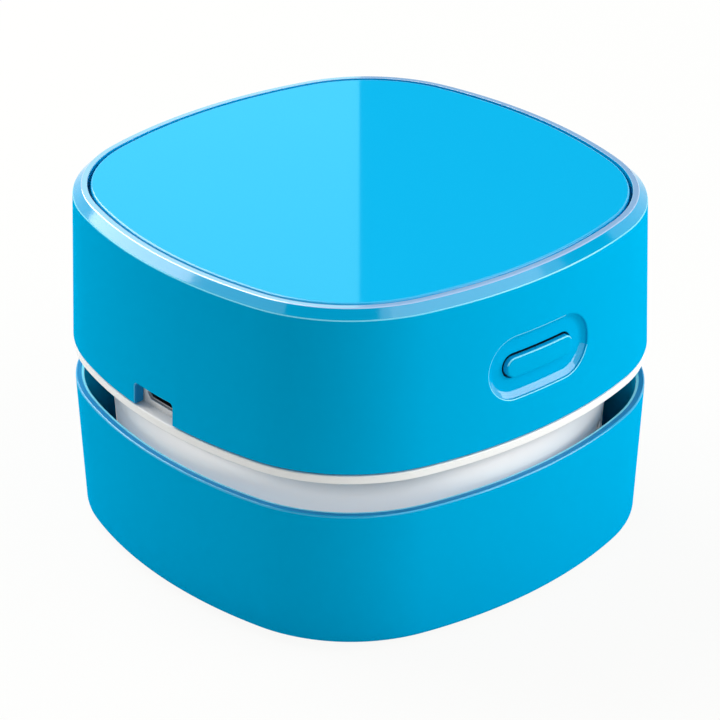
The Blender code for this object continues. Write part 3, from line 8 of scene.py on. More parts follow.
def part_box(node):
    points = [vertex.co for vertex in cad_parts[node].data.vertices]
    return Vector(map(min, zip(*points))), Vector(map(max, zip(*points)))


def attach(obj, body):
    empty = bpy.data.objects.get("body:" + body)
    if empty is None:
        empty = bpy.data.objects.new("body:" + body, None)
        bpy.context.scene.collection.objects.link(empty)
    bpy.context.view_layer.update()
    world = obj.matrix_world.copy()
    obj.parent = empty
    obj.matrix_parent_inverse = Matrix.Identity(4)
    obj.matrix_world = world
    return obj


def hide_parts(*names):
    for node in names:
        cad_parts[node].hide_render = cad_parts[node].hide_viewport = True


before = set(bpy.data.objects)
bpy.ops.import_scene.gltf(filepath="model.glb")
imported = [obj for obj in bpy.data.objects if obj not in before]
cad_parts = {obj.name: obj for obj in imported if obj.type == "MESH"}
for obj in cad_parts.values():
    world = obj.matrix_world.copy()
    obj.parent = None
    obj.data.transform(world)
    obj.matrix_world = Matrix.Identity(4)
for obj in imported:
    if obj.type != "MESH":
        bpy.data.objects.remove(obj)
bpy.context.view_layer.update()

# Camera at the photograph's place: level with the corner between the button's side and the
# port's side, looking down on the cap through a long lens.
TARGET_HEIGHT = 0.0315
VIEW_AZIMUTH = math.radians(48.796)
VIEW_ELEVATION = math.radians(27.653)
VIEW_DISTANCE = 0.462

camera = bpy.data.objects.new("camera", bpy.data.cameras.new("camera"))
bpy.context.scene.collection.objects.link(camera)
bpy.context.scene.camera = camera
camera.data.lens = 136.9
camera.data.sensor_width = 36.0
camera.data.shift_x = 0.0008
camera.data.shift_y = -0.0314
camera.data.clip_start = 0.01
camera.data.clip_end = 20.0


def direction(azimuth, elevation):
    """Unit vector from the object's middle, with azimuth 0 at -Y and growing towards +X."""
    level = math.cos(elevation)
    return Vector((math.sin(azimuth) * level, -math.cos(azimuth) * level, math.sin(elevation)))


target = Vector((0, 0, TARGET_HEIGHT))
camera.location = target + direction(VIEW_AZIMUTH, VIEW_ELEVATION) * VIEW_DISTANCE
camera.rotation_euler = (math.pi / 2 - VIEW_ELEVATION, 0, VIEW_AZIMUTH)


# Studio: a plain pale sweep of floor under the object, a white room that is seen directly and in
# gloss, and soft lamps. The floor is white to the camera apart from the object's soft shadow.
FLOOR_HALF = 2.5
ROOM_LEVEL = 0.235
GLOW_SHARE = 0.94
LAMP_DISTANCE = 0.9
FLAG_SETBACK = 1.02


def linear(shade):
    """Linear RGBA of an sRGB hex colour."""
    parts = [int(shade[i:i + 2], 16) / 255 for i in (1, 3, 5)]
    return [c / 12.92 if c <= 0.04045 else ((c + 0.055) / 1.055) ** 2.4 for c in parts] + [1.0]


def add(tree, kind, inputs=(), **settings):
    """New node with its settings. An input is a value or another node's output."""
    node = tree.nodes.new(kind)
    for name, value in settings.items():
        setattr(node, name, value)
    for socket, value in dict(inputs).items():
        if isinstance(value, bpy.types.NodeSocket):
            tree.links.new(value, node.inputs[socket])
        else:
            node.inputs[socket].default_value = value
    return node


def empty_material(name):
    """New material and its node tree, still without nodes."""
    material = bpy.data.materials.new(name)
    material.use_nodes = True
    material.node_tree.nodes.clear()
    return material, material.node_tree


def seen_directly(tree):
    """1 for rays from the camera and for mirrored or refracted ones, 0 for diffuse light."""
    rays = add(tree, "ShaderNodeLightPath")
    either = add(tree, "ShaderNodeMath", {0: rays.outputs["Is Camera Ray"],
                                          1: rays.outputs["Is Glossy Ray"]}, operation="MAXIMUM")
    return add(tree, "ShaderNodeMath", {0: either.outputs[0],
                                        1: rays.outputs["Is Transmission Ray"]},
               operation="MAXIMUM").outputs[0]


world = bpy.data.worlds.new("studio room")
bpy.context.scene.world = world
world.use_nodes = True
room = world.node_tree
room.nodes.clear()
strength = add(room, "ShaderNodeMapRange", {"Value": seen_directly(room), "To Min": ROOM_LEVEL,
                                            "To Max": 1.0})
light = add(room, "ShaderNodeBackground", {"Color": linear("#FFFFFF"),
                                           "Strength": strength.outputs[0]})
add(room, "ShaderNodeOutputWorld", {"Surface": light.outputs[0]})

floor_mesh = bmesh.new()
bmesh.ops.create_grid(floor_mesh, x_segments=1, y_segments=1, size=FLOOR_HALF)
floor = bpy.data.objects.new("floor", bpy.data.meshes.new("floor"))
floor_mesh.to_mesh(floor.data)
bpy.context.scene.collection.objects.link(floor)

# Pale satin laminate: a diffuse sheet that takes the shadow, over a plain white glow for the
# rays that come straight from the camera or from a mirror.
paper, tree = empty_material("pale studio sheet")
sheet = add(tree, "ShaderNodeBsdfDiffuse", {"Color": linear("#E6E6E4")})
glow = add(tree, "ShaderNodeEmission", {"Color": linear("#FEFEFD"), "Strength": 1.0})
share = add(tree, "ShaderNodeMath", {0: seen_directly(tree), 1: GLOW_SHARE},
            operation="MULTIPLY")
mixed = add(tree, "ShaderNodeMixShader", {"Fac": share.outputs[0], 1: sheet.outputs[0],
                                          2: glow.outputs[0]})
add(tree, "ShaderNodeOutputMaterial", {"Surface": mixed.outputs[0]})
floor.data.materials.append(paper)


def facing(azimuth, elevation):
    """Direction of a place in the studio, given in degrees, and the turn that faces back."""
    aim = direction(math.radians(azimuth), math.radians(elevation))
    return aim, (-aim).to_track_quat("-Z", "Y")


def soft_lamp(name, azimuth, elevation, width, height, power, shade="#FFFFFF", aside=0.0):
    """Area lamp that faces the object's middle, or a place beside it, from LAMP_DISTANCE."""
    lamp = bpy.data.lights.new(name, "AREA")
    lamp.shape = "RECTANGLE"
    lamp.size, lamp.size_y = width, height
    lamp.energy = power
    lamp.color = linear(shade)[:3]
    obj = bpy.data.objects.new(name, lamp)
    aim, turn = facing(azimuth, elevation)
    across = Vector((math.cos(math.radians(azimuth)), math.sin(math.radians(azimuth)), 0))
    obj.location = target + aim * LAMP_DISTANCE + across * aside
    obj.rotation_euler = turn.to_euler()
    bpy.context.scene.collection.objects.link(obj)
    return obj


# The two big boxes leave the front corner darkest. The strip brightens the rim's right half.
soft_lamp("left_softbox", -80, 45, 0.8, 0.8, 10.5)
soft_lamp("right_softbox", 129, 15, 0.7, 0.7, 6.15)
soft_lamp("strip_softbox", 105, 52, 1.0, 0.4, 2.0)


def black_card(name, azimuth, elevation, width, height):
    """Flag of black cloth that only mirrored rays meet. It stands behind the lamps."""
    mesh = bmesh.new()
    bmesh.ops.create_grid(mesh, x_segments=1, y_segments=1, size=0.5)
    aim, turn = facing(azimuth, elevation)
    bmesh.ops.transform(mesh, verts=mesh.verts, matrix=(
        Matrix.Translation(target + aim * LAMP_DISTANCE * FLAG_SETBACK)
        @ turn.to_matrix().to_4x4() @ Matrix.Diagonal((width, height, 1, 1))))
    flag = bpy.data.objects.new(name, bpy.data.meshes.new(name))
    mesh.to_mesh(flag.data)
    mesh.free()
    bpy.context.scene.collection.objects.link(flag)
    flag.data.materials.append(cloth)
    flag.visible_camera = flag.visible_diffuse = flag.visible_shadow = False


# Behind the object a pale panel stands in front of the left half of a black flag. The glossy lid
# mirrors both, so its left half is lighter, with a straight line between the halves. Two more
# flags leave the rim's chamfer dark at the front corner and before the right corner.
cloth, tree = empty_material("black duvetyne cloth")
nap = add(tree, "ShaderNodeBsdfDiffuse", {"Color": linear("#050505")})
add(tree, "ShaderNodeOutputMaterial", {"Surface": nap.outputs[0]})
PANEL_WIDTH = 0.34
PANEL_ELEVATION = 25
behind = math.degrees(VIEW_AZIMUTH) - 180
soft_lamp("lid_panel", behind, PANEL_ELEVATION, PANEL_WIDTH, PANEL_WIDTH, 0.62, "#8BD3C4",
          aside=PANEL_WIDTH / 2)
black_card("lid_flag", behind, PANEL_ELEVATION, 2 * PANEL_WIDTH, PANEL_WIDTH)
black_card("front_flag", 34, 61.5, 0.80, 0.34)
black_card("side_flag", 156, 31, 0.17, 0.25)


# Dust cup: one injection moulding in blue ABS. Its wall leans out to the rim, which has a narrow
# chamfer outside and a lead-in slope inside. The floor carries a round bin for the dust, four
# screw bosses and the opening for the suction duct.
BODY_HALF = 0.0430
SIDE_RADIUS = 0.0817
CORNER_RADIUS = 0.0263
SIDE_STEPS = 48
CORNER_STEPS = 44
ROW_HEIGHT = 0.0012
EDGE_ROW = 0.00006
TINY = 0.00001
FIT_GAP = 0.0003
OVERRUN = 0.0010
ROUND_STEPS = 192
SHARP_ANGLE = 32
SOFT_EDGE = (0.0003, 3)  # radius and segments


def corner_centre():
    """Place of the corner arc's centre, the same on both axes for every parallel outline."""
    side = SIDE_RADIUS - BODY_HALF
    reach = SIDE_RADIUS - CORNER_RADIUS
    return (math.sqrt(8 * reach ** 2 - 4 * side ** 2) - 2 * side) / 4


def ease(bm, geom, offset, segments, affect="EDGES"):
    """Rounds edges, or the corners of an outline, and gives back the new vertices."""
    return bmesh.ops.bevel(bm, geom=geom, offset=offset, segments=segments, profile=0.5,
                           affect=affect, material=-1)["verts"]


def wire_section(bm, points, rounds, closed):
    """Wire through (distance out, height) points, some corners rounded by a radius.

    A narrow row beside each rounded corner keeps the flat next to it flat in the shading.
    """
    verts = [bm.verts.new((out, 0, height)) for out, height in points]
    pairs = list(zip(verts, verts[1:]))
    if closed:
        pairs.append((verts[-1], verts[0]))
    for pair in pairs:
        bm.edges.new(pair)
    arcs = set()
    for index, radius, segments in rounds:
        arcs |= set(ease(bm, [verts[index]], radius, segments, "VERTICES"))
    for edge in bm.edges[:]:
        for end in [vert for vert in edge.verts if vert in arcs]:
            if edge.calc_length() > 4 * EDGE_ROW:
                made = bmesh.utils.edge_split(edge, end, EDGE_ROW / edge.calc_length())[0]
                edge = max(edge, made, key=lambda piece: piece.calc_length())
    for edge in bm.edges[:]:
        cuts = math.ceil(edge.calc_length() / ROW_HEIGHT) - 1
        if cuts > 0:
            bmesh.ops.subdivide_edges(bm, edges=[edge], cuts=cuts)


def casing_walls(points, rounds=(), closed=True):
    """Section swept round the casing's outline of four flat arcs and four corner arcs.

    A section point gives the half width of the parallel outline that it follows. The end rings
    of an open section get flat faces.
    """
    bm = bmesh.new()
    wire_section(bm, points, rounds, closed)
    middle = corner_centre()
    swing = math.atan2(middle, middle + SIDE_RADIUS - BODY_HALF)
    side = Vector((BODY_HALF - SIDE_RADIUS, 0, 0))
    bmesh.ops.rotate(bm, verts=bm.verts, cent=side, matrix=Matrix.Rotation(-swing, 3, "Z"))
    last = bm.verts[:] + bm.edges[:]
    arcs = ((side, 2 * swing, SIDE_STEPS),
            (Vector((middle, middle, 0)), math.pi / 2 - 2 * swing, CORNER_STEPS))
    for quarter in range(4):
        turn = Matrix.Rotation(quarter * math.pi / 2, 3, "Z")
        for centre, angle, steps in arcs:
            last = bmesh.ops.spin(bm, geom=last, cent=turn @ centre, axis=(0, 0, 1), angle=angle,
                                  steps=steps)["geom_last"]
    bmesh.ops.remove_doubles(bm, verts=bm.verts, dist=TINY)
    if not closed:
        bmesh.ops.holes_fill(bm, edges=[edge for edge in bm.edges if edge.is_boundary])
    return bm


def turned(points, rounds=(), closed=True, steps=96, centre=(0, 0)):
    """Section turned once about an upright axis."""
    bm = bmesh.new()
    wire_section(bm, points, rounds, closed)
    bmesh.ops.spin(bm, geom=bm.verts[:] + bm.edges[:], cent=(0, 0, 0), axis=(0, 0, 1),
                   angle=2 * math.pi, steps=steps, use_merge=True)
    bmesh.ops.remove_doubles(bm, verts=bm.verts, dist=TINY)
    bmesh.ops.translate(bm, verts=bm.verts, vec=(*centre, 0))
    return bm


def rod(radius, low, high, centre=(0, 0), steps=32):
    """Plain upright cylinder, for bosses and drilled holes."""
    return turned([(0, low), (radius, low), (radius, high), (0, high)], (), False, steps, centre)


def shade_edges(mesh, smooth_below=SHARP_ANGLE):
    """Smooth shading, except across edges sharper than an angle in degrees."""
    mesh.shade_smooth()
    mesh.set_sharp_from_angle(angle=math.radians(smooth_below))


def new_piece(name, bm, smooth_below=SHARP_ANGLE):
    """Object from a closed mesh, faces out, smooth except at sharp edges."""
    bmesh.ops.recalc_face_normals(bm, faces=bm.faces)
    mesh = bpy.data.meshes.new(name)
    bm.to_mesh(mesh)
    bm.free()
    shade_edges(mesh, smooth_below)
    piece = bpy.data.objects.new(name, mesh)
    bpy.context.scene.collection.objects.link(piece)
    return piece


def carve(piece, bm, operation="DIFFERENCE"):
    """Cuts a closed mesh from a piece, or joins it on, and keeps the result as its mesh."""
    tool = new_piece("tool", bm)
    change = piece.modifiers.new("carve", "BOOLEAN")
    change.object = tool
    change.operation = operation
    shown = piece.evaluated_get(bpy.context.evaluated_depsgraph_get())
    mesh = bpy.data.meshes.new_from_object(shown)
    piece.modifiers.clear()
    spent = (piece.data, tool.data)
    piece.data = mesh
    bpy.data.objects.remove(tool)
    for old in spent:
        bpy.data.meshes.remove(old)
    mesh.name = piece.name
    shade_edges(mesh)


def join(parts):
    """Several closed meshes put into one."""
    whole = bmesh.new()
    for part in parts:
        mesh = bpy.data.meshes.new("part")
        part.to_mesh(mesh)
        part.free()
        whole.from_mesh(mesh)
        bpy.data.meshes.remove(mesh)
    return whole


def raise_face(bm, face, travel):
    """Extrudes a flat face and moves the new end along a vector."""
    made = bmesh.ops.extrude_face_region(bm, geom=[face])["geom"]
    moved = [item for item in made if isinstance(item, bmesh.types.BMVert)]
    bmesh.ops.translate(bm, verts=moved, vec=travel)
    return moved


def round_ended(bm, straight, radius, along, across, base=(0, 0, 0), steps=24):
    """Closed wire of two half circles and the straight edges between them."""
    ends = []
    for side in (1, -1):
        start = bm.verts.new(Vector(base) + side * (straight * along - radius * across))
        if ends:
            bm.edges.new((ends[-1], start))
        ends += [start, bmesh.ops.spin(bm, geom=[start], cent=side * straight * along,
                                       axis=along.cross(across), angle=math.pi,
                                       steps=steps)["geom_last"][0]]
    bm.edges.new((ends[-1], ends[0]))


def pill(length, width, low, high, edge_round=0.0):
    """Upright block with a round-ended plan along X, its top edge rounded."""
    bm = bmesh.new()
    round_ended(bm, (length - width) / 2, width / 2, Vector((1, 0, 0)), Vector((0, 1, 0)),
                (0, 0, low))
    face = bmesh.ops.contextual_create(bm, geom=bm.edges[:])["faces"][0]
    top = set(raise_face(bm, face, (0, 0, high - low)))
    if edge_round:
        ease(bm, [edge for edge in bm.edges if set(edge.verts) <= top], edge_round, 3)
    return bm


def corner_places(reach):
    """Four places on the diagonals at a distance from the middle."""
    side = reach / math.sqrt(2)
    return [(x * side, y * side) for x, y in ((1, 1), (-1, 1), (-1, -1), (1, -1))]


def paint(piece, materials, choose):
    """Gives each face of a piece one of the materials, by the index that a rule picks for it."""
    for material in materials:
        piece.data.materials.append(material)
    for polygon in piece.data.polygons:
        polygon.material_index = choose(polygon)


def patterned_material(name):
    """New material, its node tree, and the place on the piece that its patterns follow."""
    material, tree = empty_material(name)
    return material, tree, add(tree, "ShaderNodeTexCoord").outputs["Object"]


def textured(tree, tone, relief, shades, depth, finish, strength=1.0):
    """Surface with two shades mixed by one pattern and a bump of a real depth by another."""
    colour = add(tree, "ShaderNodeMix", {"Factor": tone, "A": linear(shades[0]),
                                         "B": linear(shades[1])}, data_type="RGBA")
    bump = add(tree, "ShaderNodeBump", {"Strength": strength, "Distance": depth, "Height": relief})
    surface = add(tree, "ShaderNodeBsdfPrincipled", {
        "Base Color": colour.outputs["Result"], "Normal": bump.outputs[0], **finish})
    add(tree, "ShaderNodeOutputMaterial", {"Surface": surface.outputs[0]})


FLOW_LENGTH = 0.015


def moulded_plastic(name, shade, second_shade, roughness, grain, depth, specular=0.5, coat=0.0):
    """Injection-moulded plastic: slight flow marks in the colour and a fine skin texture.

    The colour drifts between two near shades over about 15 mm, as melt flow leaves it. Grain is
    the mould texture's spacing and depth its height, both in metres.
    """
    material, tree, place = patterned_material(name)
    flow = add(tree, "ShaderNodeTexNoise", {"Vector": place, "Scale": 1 / FLOW_LENGTH,
                                            "Detail": 2.0, "Roughness": 0.5}).outputs["Fac"]
    skin = add(tree, "ShaderNodeTexNoise", {"Vector": place, "Scale": 1 / grain, "Detail": 3.0,
                                            "Roughness": 0.6}).outputs["Fac"]
    polish = add(tree, "ShaderNodeMapRange", {"Value": skin, "To Min": roughness * 0.9,
                                              "To Max": roughness * 1.1})
    textured(tree, flow, skin, (shade, second_shade), depth, {
        "Roughness": polish.outputs[0], "IOR": 1.53, "Specular IOR Level": specular,
        "Coat Weight": coat, "Coat Roughness": 0.05})
    return material


# The broad walls are satin and stay deep blue. The chamfers are polished and mirror the room.
# The narrow edges beside them get a pale colour, a painted highlight that draws thin light
# lines. The top of the cup's rim and the sides of the notch get a darker colour, painted shade.
BLUE = "#00AADC"
BLUE_DRIFT = "#00A8DB"
wall_blue = moulded_plastic("blue ABS satin wall", BLUE, BLUE_DRIFT, 0.45, 0.0008, 0.0000004,
                            specular=0.0)
rim_blue = moulded_plastic("blue ABS polished chamfer", BLUE, BLUE_DRIFT, 0.08, 0.0030, 0.0000004,
                           specular=0.55)
# Painted highlight: a pale blue for the thin light lines along the edges.
painted_highlight_blue = moulded_plastic("blue ABS painted highlight edge", "#7CE2FC", "#79E0FA", 0.12, 0.0030,
                            0.0000004, specular=0.3)
# Painted shade: a darker blue for faces that get little light, on the cup's rim and in the notch.
painted_shade_blue = moulded_plastic("blue ABS painted shade face", "#178AC6", "#1688C3", 0.30, 0.0030,
                           0.0000004, specular=0.1)

CUP_WALL = 0.0015
CUP_FLOOR = 0.0014
CUP_FLARE = 0.0009
CUP_CHAMFER = 0.0002
CUP_INNER_EDGE = 0.0001
CUP_LEAD_IN = 0.00048
CUP_LEAD_DROP = 0.00004
BIN_RADIUS = 0.03905
BIN_WALL = 0.0013
BIN_HEIGHT = 0.0064
CUP_BOSS_REACH = 0.0325
CUP_BOSS_RADIUS = 0.0026
CUP_BOSS_HEIGHT = 0.0042
CUP_SCREW_DEPTH = 0.0033
CUP_FLOOR_INSET = 0.0020
RIM_BAND = 0.00005
SCREW_RADIUS = 0.0010

cup_low, cup_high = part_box("lower_shell")
plate_low, plate_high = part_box("base_plate")
cup_foot = cup_high.x - CUP_FLARE
floor_under = plate_high.z + FIT_GAP
floor_top = floor_under + CUP_FLOOR
bin_top = floor_top + BIN_HEIGHT
inner_foot = cup_foot - CUP_WALL
inner_rim = cup_high.x - CUP_WALL
cup = new_piece("dust_cup_shell", casing_walls([
    (inner_foot, floor_under), (inner_foot, cup_low.z), (cup_foot, cup_low.z),
    (cup_high.x, cup_high.z - CUP_CHAMFER), (cup_high.x - CUP_CHAMFER, cup_high.z),
    (inner_rim + CUP_LEAD_IN, cup_high.z),
    (inner_rim + CUP_INNER_EDGE, cup_high.z - CUP_LEAD_DROP),
    (inner_rim, cup_high.z - CUP_LEAD_DROP - CUP_INNER_EDGE), (inner_foot, floor_top),
    (inner_foot - CUP_FLOOR_INSET, floor_top)],
    rounds=((2, 0.0006, 5), (3, 0.00008, 2), (4, 0.00008, 2), (5, 0.00003, 2), (6, 0.00003, 2),
            (7, 0.00003, 2), (8, 0.0008, 4)), closed=False))
carve(cup, join([turned([
    (BIN_RADIUS, floor_top - FIT_GAP), (BIN_RADIUS, bin_top), (BIN_RADIUS - BIN_WALL, bin_top),
    (BIN_RADIUS - BIN_WALL, floor_top - FIT_GAP)], rounds=((1, *SOFT_EDGE), (2, *SOFT_EDGE)),
    steps=ROUND_STEPS)]
    + [rod(CUP_BOSS_RADIUS, floor_top - FIT_GAP, floor_top + CUP_BOSS_HEIGHT, place)
       for place in corner_places(CUP_BOSS_REACH)]), "UNION")
duct_low, duct_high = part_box("inlet_duct")
DUCT_FLANGE = 0.0020
duct_length = 2 * (duct_high.x - DUCT_FLANGE)
duct_width = 2 * (duct_high.y - DUCT_FLANGE)
carve(cup, join([pill(duct_length + 2 * FIT_GAP, duct_width + 2 * FIT_GAP, floor_under - OVERRUN,
                      floor_top + OVERRUN)]
                + [rod(SCREW_RADIUS + FIT_GAP, floor_under - OVERRUN,
                       floor_under + CUP_SCREW_DEPTH, place)
                   for place in corner_places(CUP_BOSS_REACH)]))


def cup_blue(polygon):
    """Satin wall, polished chamfer, painted shade on the rim's top, painted highlight on the
    lead-in.
    """
    tilt = polygon.normal
    if cup_high.z - polygon.center.z > CUP_CHAMFER + RIM_BAND or tilt.z < 0.1:
        return 0
    if tilt.z < 0.998 and tilt.xy.dot(polygon.center.xy) < 0:
        return 2
    return 3 if tilt.z > 0.95 else 1


paint(cup, (wall_blue, rim_blue, painted_highlight_blue, painted_shade_blue), cup_blue)
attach(cup, "dust_cup")
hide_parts("lower_shell")


# Base plate: a dark grey ABS moulding screwed into the cup's underside. It has the suction mouth
# with an eased lip, two channels for the brushes, shallow foot recesses and sunk screw holes.
dark_abs = moulded_plastic("dark grey ABS textured moulding", "#3A3A3D", "#353538", 0.45, 0.0007,
                           0.000008, specular=0.4)
MOUTH_LENGTH = 0.0400
MOUTH_WIDTH = 0.0100
MOUTH_LIP = 0.0006
SCREW_HEAD_RADIUS = 0.0019
SCREW_HEAD_HEIGHT = 0.0012
PLATE_INSET = 0.0015
FINE_EDGE = (0.0002, 2)  # radius and segments


def block(low, high):
    """Box between two corners."""
    bm = bmesh.new()
    bmesh.ops.create_cube(bm, size=1.0)
    bmesh.ops.scale(bm, verts=bm.verts, vec=Vector(high) - Vector(low))
    bmesh.ops.translate(bm, verts=bm.verts, vec=(Vector(high) + Vector(low)) / 2)
    return bm


def stepped_hole(low, step, high, place):
    """Clearance for a screw: wide for its head up to a step, then narrow for its shank."""
    head, shank = SCREW_HEAD_RADIUS + FIT_GAP, SCREW_RADIUS + FIT_GAP
    return turned([(0, low), (head, low), (head, step), (shank, step), (shank, high), (0, high)],
                  closed=False, steps=32, centre=place)


def centre_of(node):
    """Middle of a CAD node's box, in plan."""
    low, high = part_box(node)
    return tuple(((low + high) / 2).xy)


plate = new_piece("floor_plate", casing_walls([
    (plate_high.x - PLATE_INSET, plate_low.z), (plate_high.x, plate_low.z),
    (plate_high.x, plate_high.z), (plate_high.x - PLATE_INSET, plate_high.z)],
    rounds=((1, 0.0004, 3), (2, *FINE_EDGE)), closed=False))
carve(plate, pill(MOUTH_LENGTH, MOUTH_WIDTH, plate_low.z - OVERRUN, plate_high.z + OVERRUN))
mouth_lip = pill(MOUTH_LENGTH, MOUTH_WIDTH, plate_low.z - TINY, plate_low.z + MOUTH_LIP)
for vert in mouth_lip.verts:
    if vert.co.z < plate_low.z:
        vert.co.x += math.copysign(MOUTH_LIP, vert.co.x)
        vert.co.y += math.copysign(MOUTH_LIP, vert.co.y)
carve(plate, mouth_lip)
channels = []
for name in ("brush_strip_front", "brush_strip_rear"):
    low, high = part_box(name)
    channels.append(block((low.x - FIT_GAP, low.y - FIT_GAP, plate_low.z - OVERRUN),
                          (high.x + FIT_GAP, high.y + FIT_GAP, plate_high.z + OVERRUN)))
foot_boxes = [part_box("glide_foot_%d" % (index + 1)) for index in range(4)]
foot_places = [centre_of("glide_foot_%d" % (index + 1)) for index in range(4)]
foot_radius = (foot_boxes[0][1].x - foot_boxes[0][0].x) / 2
recesses = [rod(foot_radius + FIT_GAP, plate_low.z - OVERRUN, foot_boxes[0][1].z + FIT_GAP,
                place, 48) for place in foot_places]
sunk_holes = [stepped_hole(plate_low.z - OVERRUN, plate_low.z + SCREW_HEAD_HEIGHT + FIT_GAP,
                           plate_high.z + OVERRUN, place)
              for place in corner_places(CUP_BOSS_REACH)]
carve(plate, join(channels + recesses + sunk_holes))
plate.data.materials.append(dark_abs)
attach(plate, "dust_cup")
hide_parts("base_plate")


# Brush strips: tufts of white nylon bristle set into a short backing bar on each side of the
# mouth. The filaments splay a little towards their ends.
TUFTS = 23
TUFT_ROWS = 2
TUFT_RADIUS = 0.00062
FILAMENT_RADIUS = 0.00010
BACK_THICKNESS = 0.0008
SPLAY = 1.35

# Extruded nylon filament is satin and soft white.
bristle_nylon = moulded_plastic("white nylon extruded filament", "#E4E3DC", "#D6D5CC", 0.38, 0.0010,
                                0.000004)


def brush(name, node):
    """Backing bar with rows of tufts. Each tuft is one filament and two rings round it."""
    low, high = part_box(node)
    back = high.z - BACK_THICKNESS
    bar = block((low.x, low.y, back), high)
    ease(bar, bar.edges[:], 0.00015, 2)
    spacing = (high.x - low.x) / TUFTS
    row_spacing = (high.y - low.y) / TUFT_ROWS
    bm = join([bar])
    tip = low.z
    for row in range(TUFT_ROWS):
        for tuft in range(TUFTS):
            middle = Vector((low.x + spacing * (tuft + 0.5), low.y + row_spacing * (row + 0.5), 0))
            for ring, count in ((0, 1), (1, 6), (2, 12)):
                for index in range(count):
                    angle = 2 * math.pi * (index + 0.5 * ring) / count + tuft
                    away = Vector((math.cos(angle), math.sin(angle), 0)) * TUFT_RADIUS * ring / 2
                    lean = 1 - 0.06 * ((index * 5 + tuft * 3) % 7) / 6
                    made = bmesh.ops.create_cone(bm, segments=4, radius1=FILAMENT_RADIUS * 0.6,
                                                 radius2=FILAMENT_RADIUS, depth=1.0,
                                                 cap_ends=True)["verts"]
                    for vert in made:
                        at_back = vert.co.z > 0
                        vert.co.z = back + FIT_GAP / 2 if at_back else back - (back - tip) * lean
                        vert.co += middle + (away if at_back else away * SPLAY)
    piece = new_piece(name, bm)
    piece.data.materials.append(bristle_nylon)
    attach(piece, "dust_cup")
    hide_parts(node)


brush("front_brush", "brush_strip_front")
brush("rear_brush", "brush_strip_rear")


# Glide feet: four soft black rubber discs glued into the plate's recesses.
# Moulded rubber has a dull skin.
foot_rubber = moulded_plastic("black rubber moulded foot", "#1D1D1E", "#262627", 0.78, 0.0004,
                              0.000012, specular=0.3)
for index, (low, high) in enumerate(foot_boxes):
    foot = new_piece("rubber_foot_%d" % (index + 1), turned([
        (0, low.z), (foot_radius, low.z), (foot_radius, high.z), (0, high.z)],
        rounds=((1, 0.0005, 4), (2, *FINE_EDGE)), closed=False, steps=64,
        centre=foot_places[index]))
    foot.data.materials.append(foot_rubber)
    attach(foot, "dust_cup")
    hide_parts("glide_foot_%d" % (index + 1))


# Base screws: zinc-plated slotted screws, turned and thread-rolled, that hold the plate to the
# cup's bosses.
THREAD_PITCH = 0.0005
THREAD_DEPTH = 0.00018
SCREW_SLOT_WIDTH = 0.0006
SCREW_SLOT_DEPTH = 0.0005


def metal(name, shade, second_shade, roughness, grain, depth, stretch=(1, 1, 1)):
    """Bare or plated metal: tool marks in its roughness and a slight change of tone.

    Grain is the marks' spacing and depth their height in metres. Stretch draws them out along
    the axes with small numbers.
    """
    material, tree, place = patterned_material(name)
    drawn = add(tree, "ShaderNodeMapping", {"Vector": place, "Scale": stretch})
    marks = add(tree, "ShaderNodeTexNoise", {"Vector": drawn.outputs[0], "Scale": 1 / grain,
                                             "Detail": 4.0, "Roughness": 0.6}).outputs["Fac"]
    polish = add(tree, "ShaderNodeMapRange", {"Value": marks, "To Min": roughness * 0.75,
                                              "To Max": roughness * 1.25})
    textured(tree, marks, marks, (shade, second_shade), depth,
             {"Roughness": polish.outputs[0], "Metallic": 1.0})
    return material


# Zinc plate on steel is a bright, slightly blue grey with soft highlights.
plated_steel = metal("zinc plated steel", "#C9CBCB", "#B7BABC", 0.28, 0.0006, 0.000003)


def slotted_screw(name, node, body):
    """Pan head with a slot, and a rolled thread up to a short point."""
    low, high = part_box(node)
    centre = centre_of(node)
    head_top = low.z + SCREW_HEAD_HEIGHT
    thread_end = high.z - SCREW_RADIUS
    thread = [(SCREW_RADIUS, head_top)]
    for turn in range(int((thread_end - head_top) / THREAD_PITCH) - 1):
        height = head_top + THREAD_PITCH * (turn + 0.5)
        thread += [(SCREW_RADIUS - THREAD_DEPTH, height), (SCREW_RADIUS, height + THREAD_PITCH / 2)]
    screw = new_piece(name, turned(
        [(0, low.z), (SCREW_HEAD_RADIUS, low.z), (SCREW_HEAD_RADIUS, head_top)] + thread
        + [(SCREW_RADIUS - THREAD_DEPTH, thread_end), (0, high.z)],
        rounds=((1, 0.0005, 4), (2, 0.0001, 2)), closed=False, steps=32, centre=centre))
    carve(screw, block((centre[0] - SCREW_HEAD_RADIUS - OVERRUN, centre[1] - SCREW_SLOT_WIDTH / 2,
                        low.z - OVERRUN),
                       (centre[0] + SCREW_HEAD_RADIUS + OVERRUN, centre[1] + SCREW_SLOT_WIDTH / 2,
                        low.z + SCREW_SLOT_DEPTH)))
    screw.data.materials.append(plated_steel)
    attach(screw, body)
    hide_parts(node)


for index in range(4):
    slotted_screw("plate_screw_%d" % (index + 1), "base_screw_%d" % (index + 1), "dust_cup")


# Inlet duct: an oblong white ABS chimney snapped into the cup's floor. It stops the dust from
# falling back out of the mouth.
FLANGE_THICKNESS = 0.0012
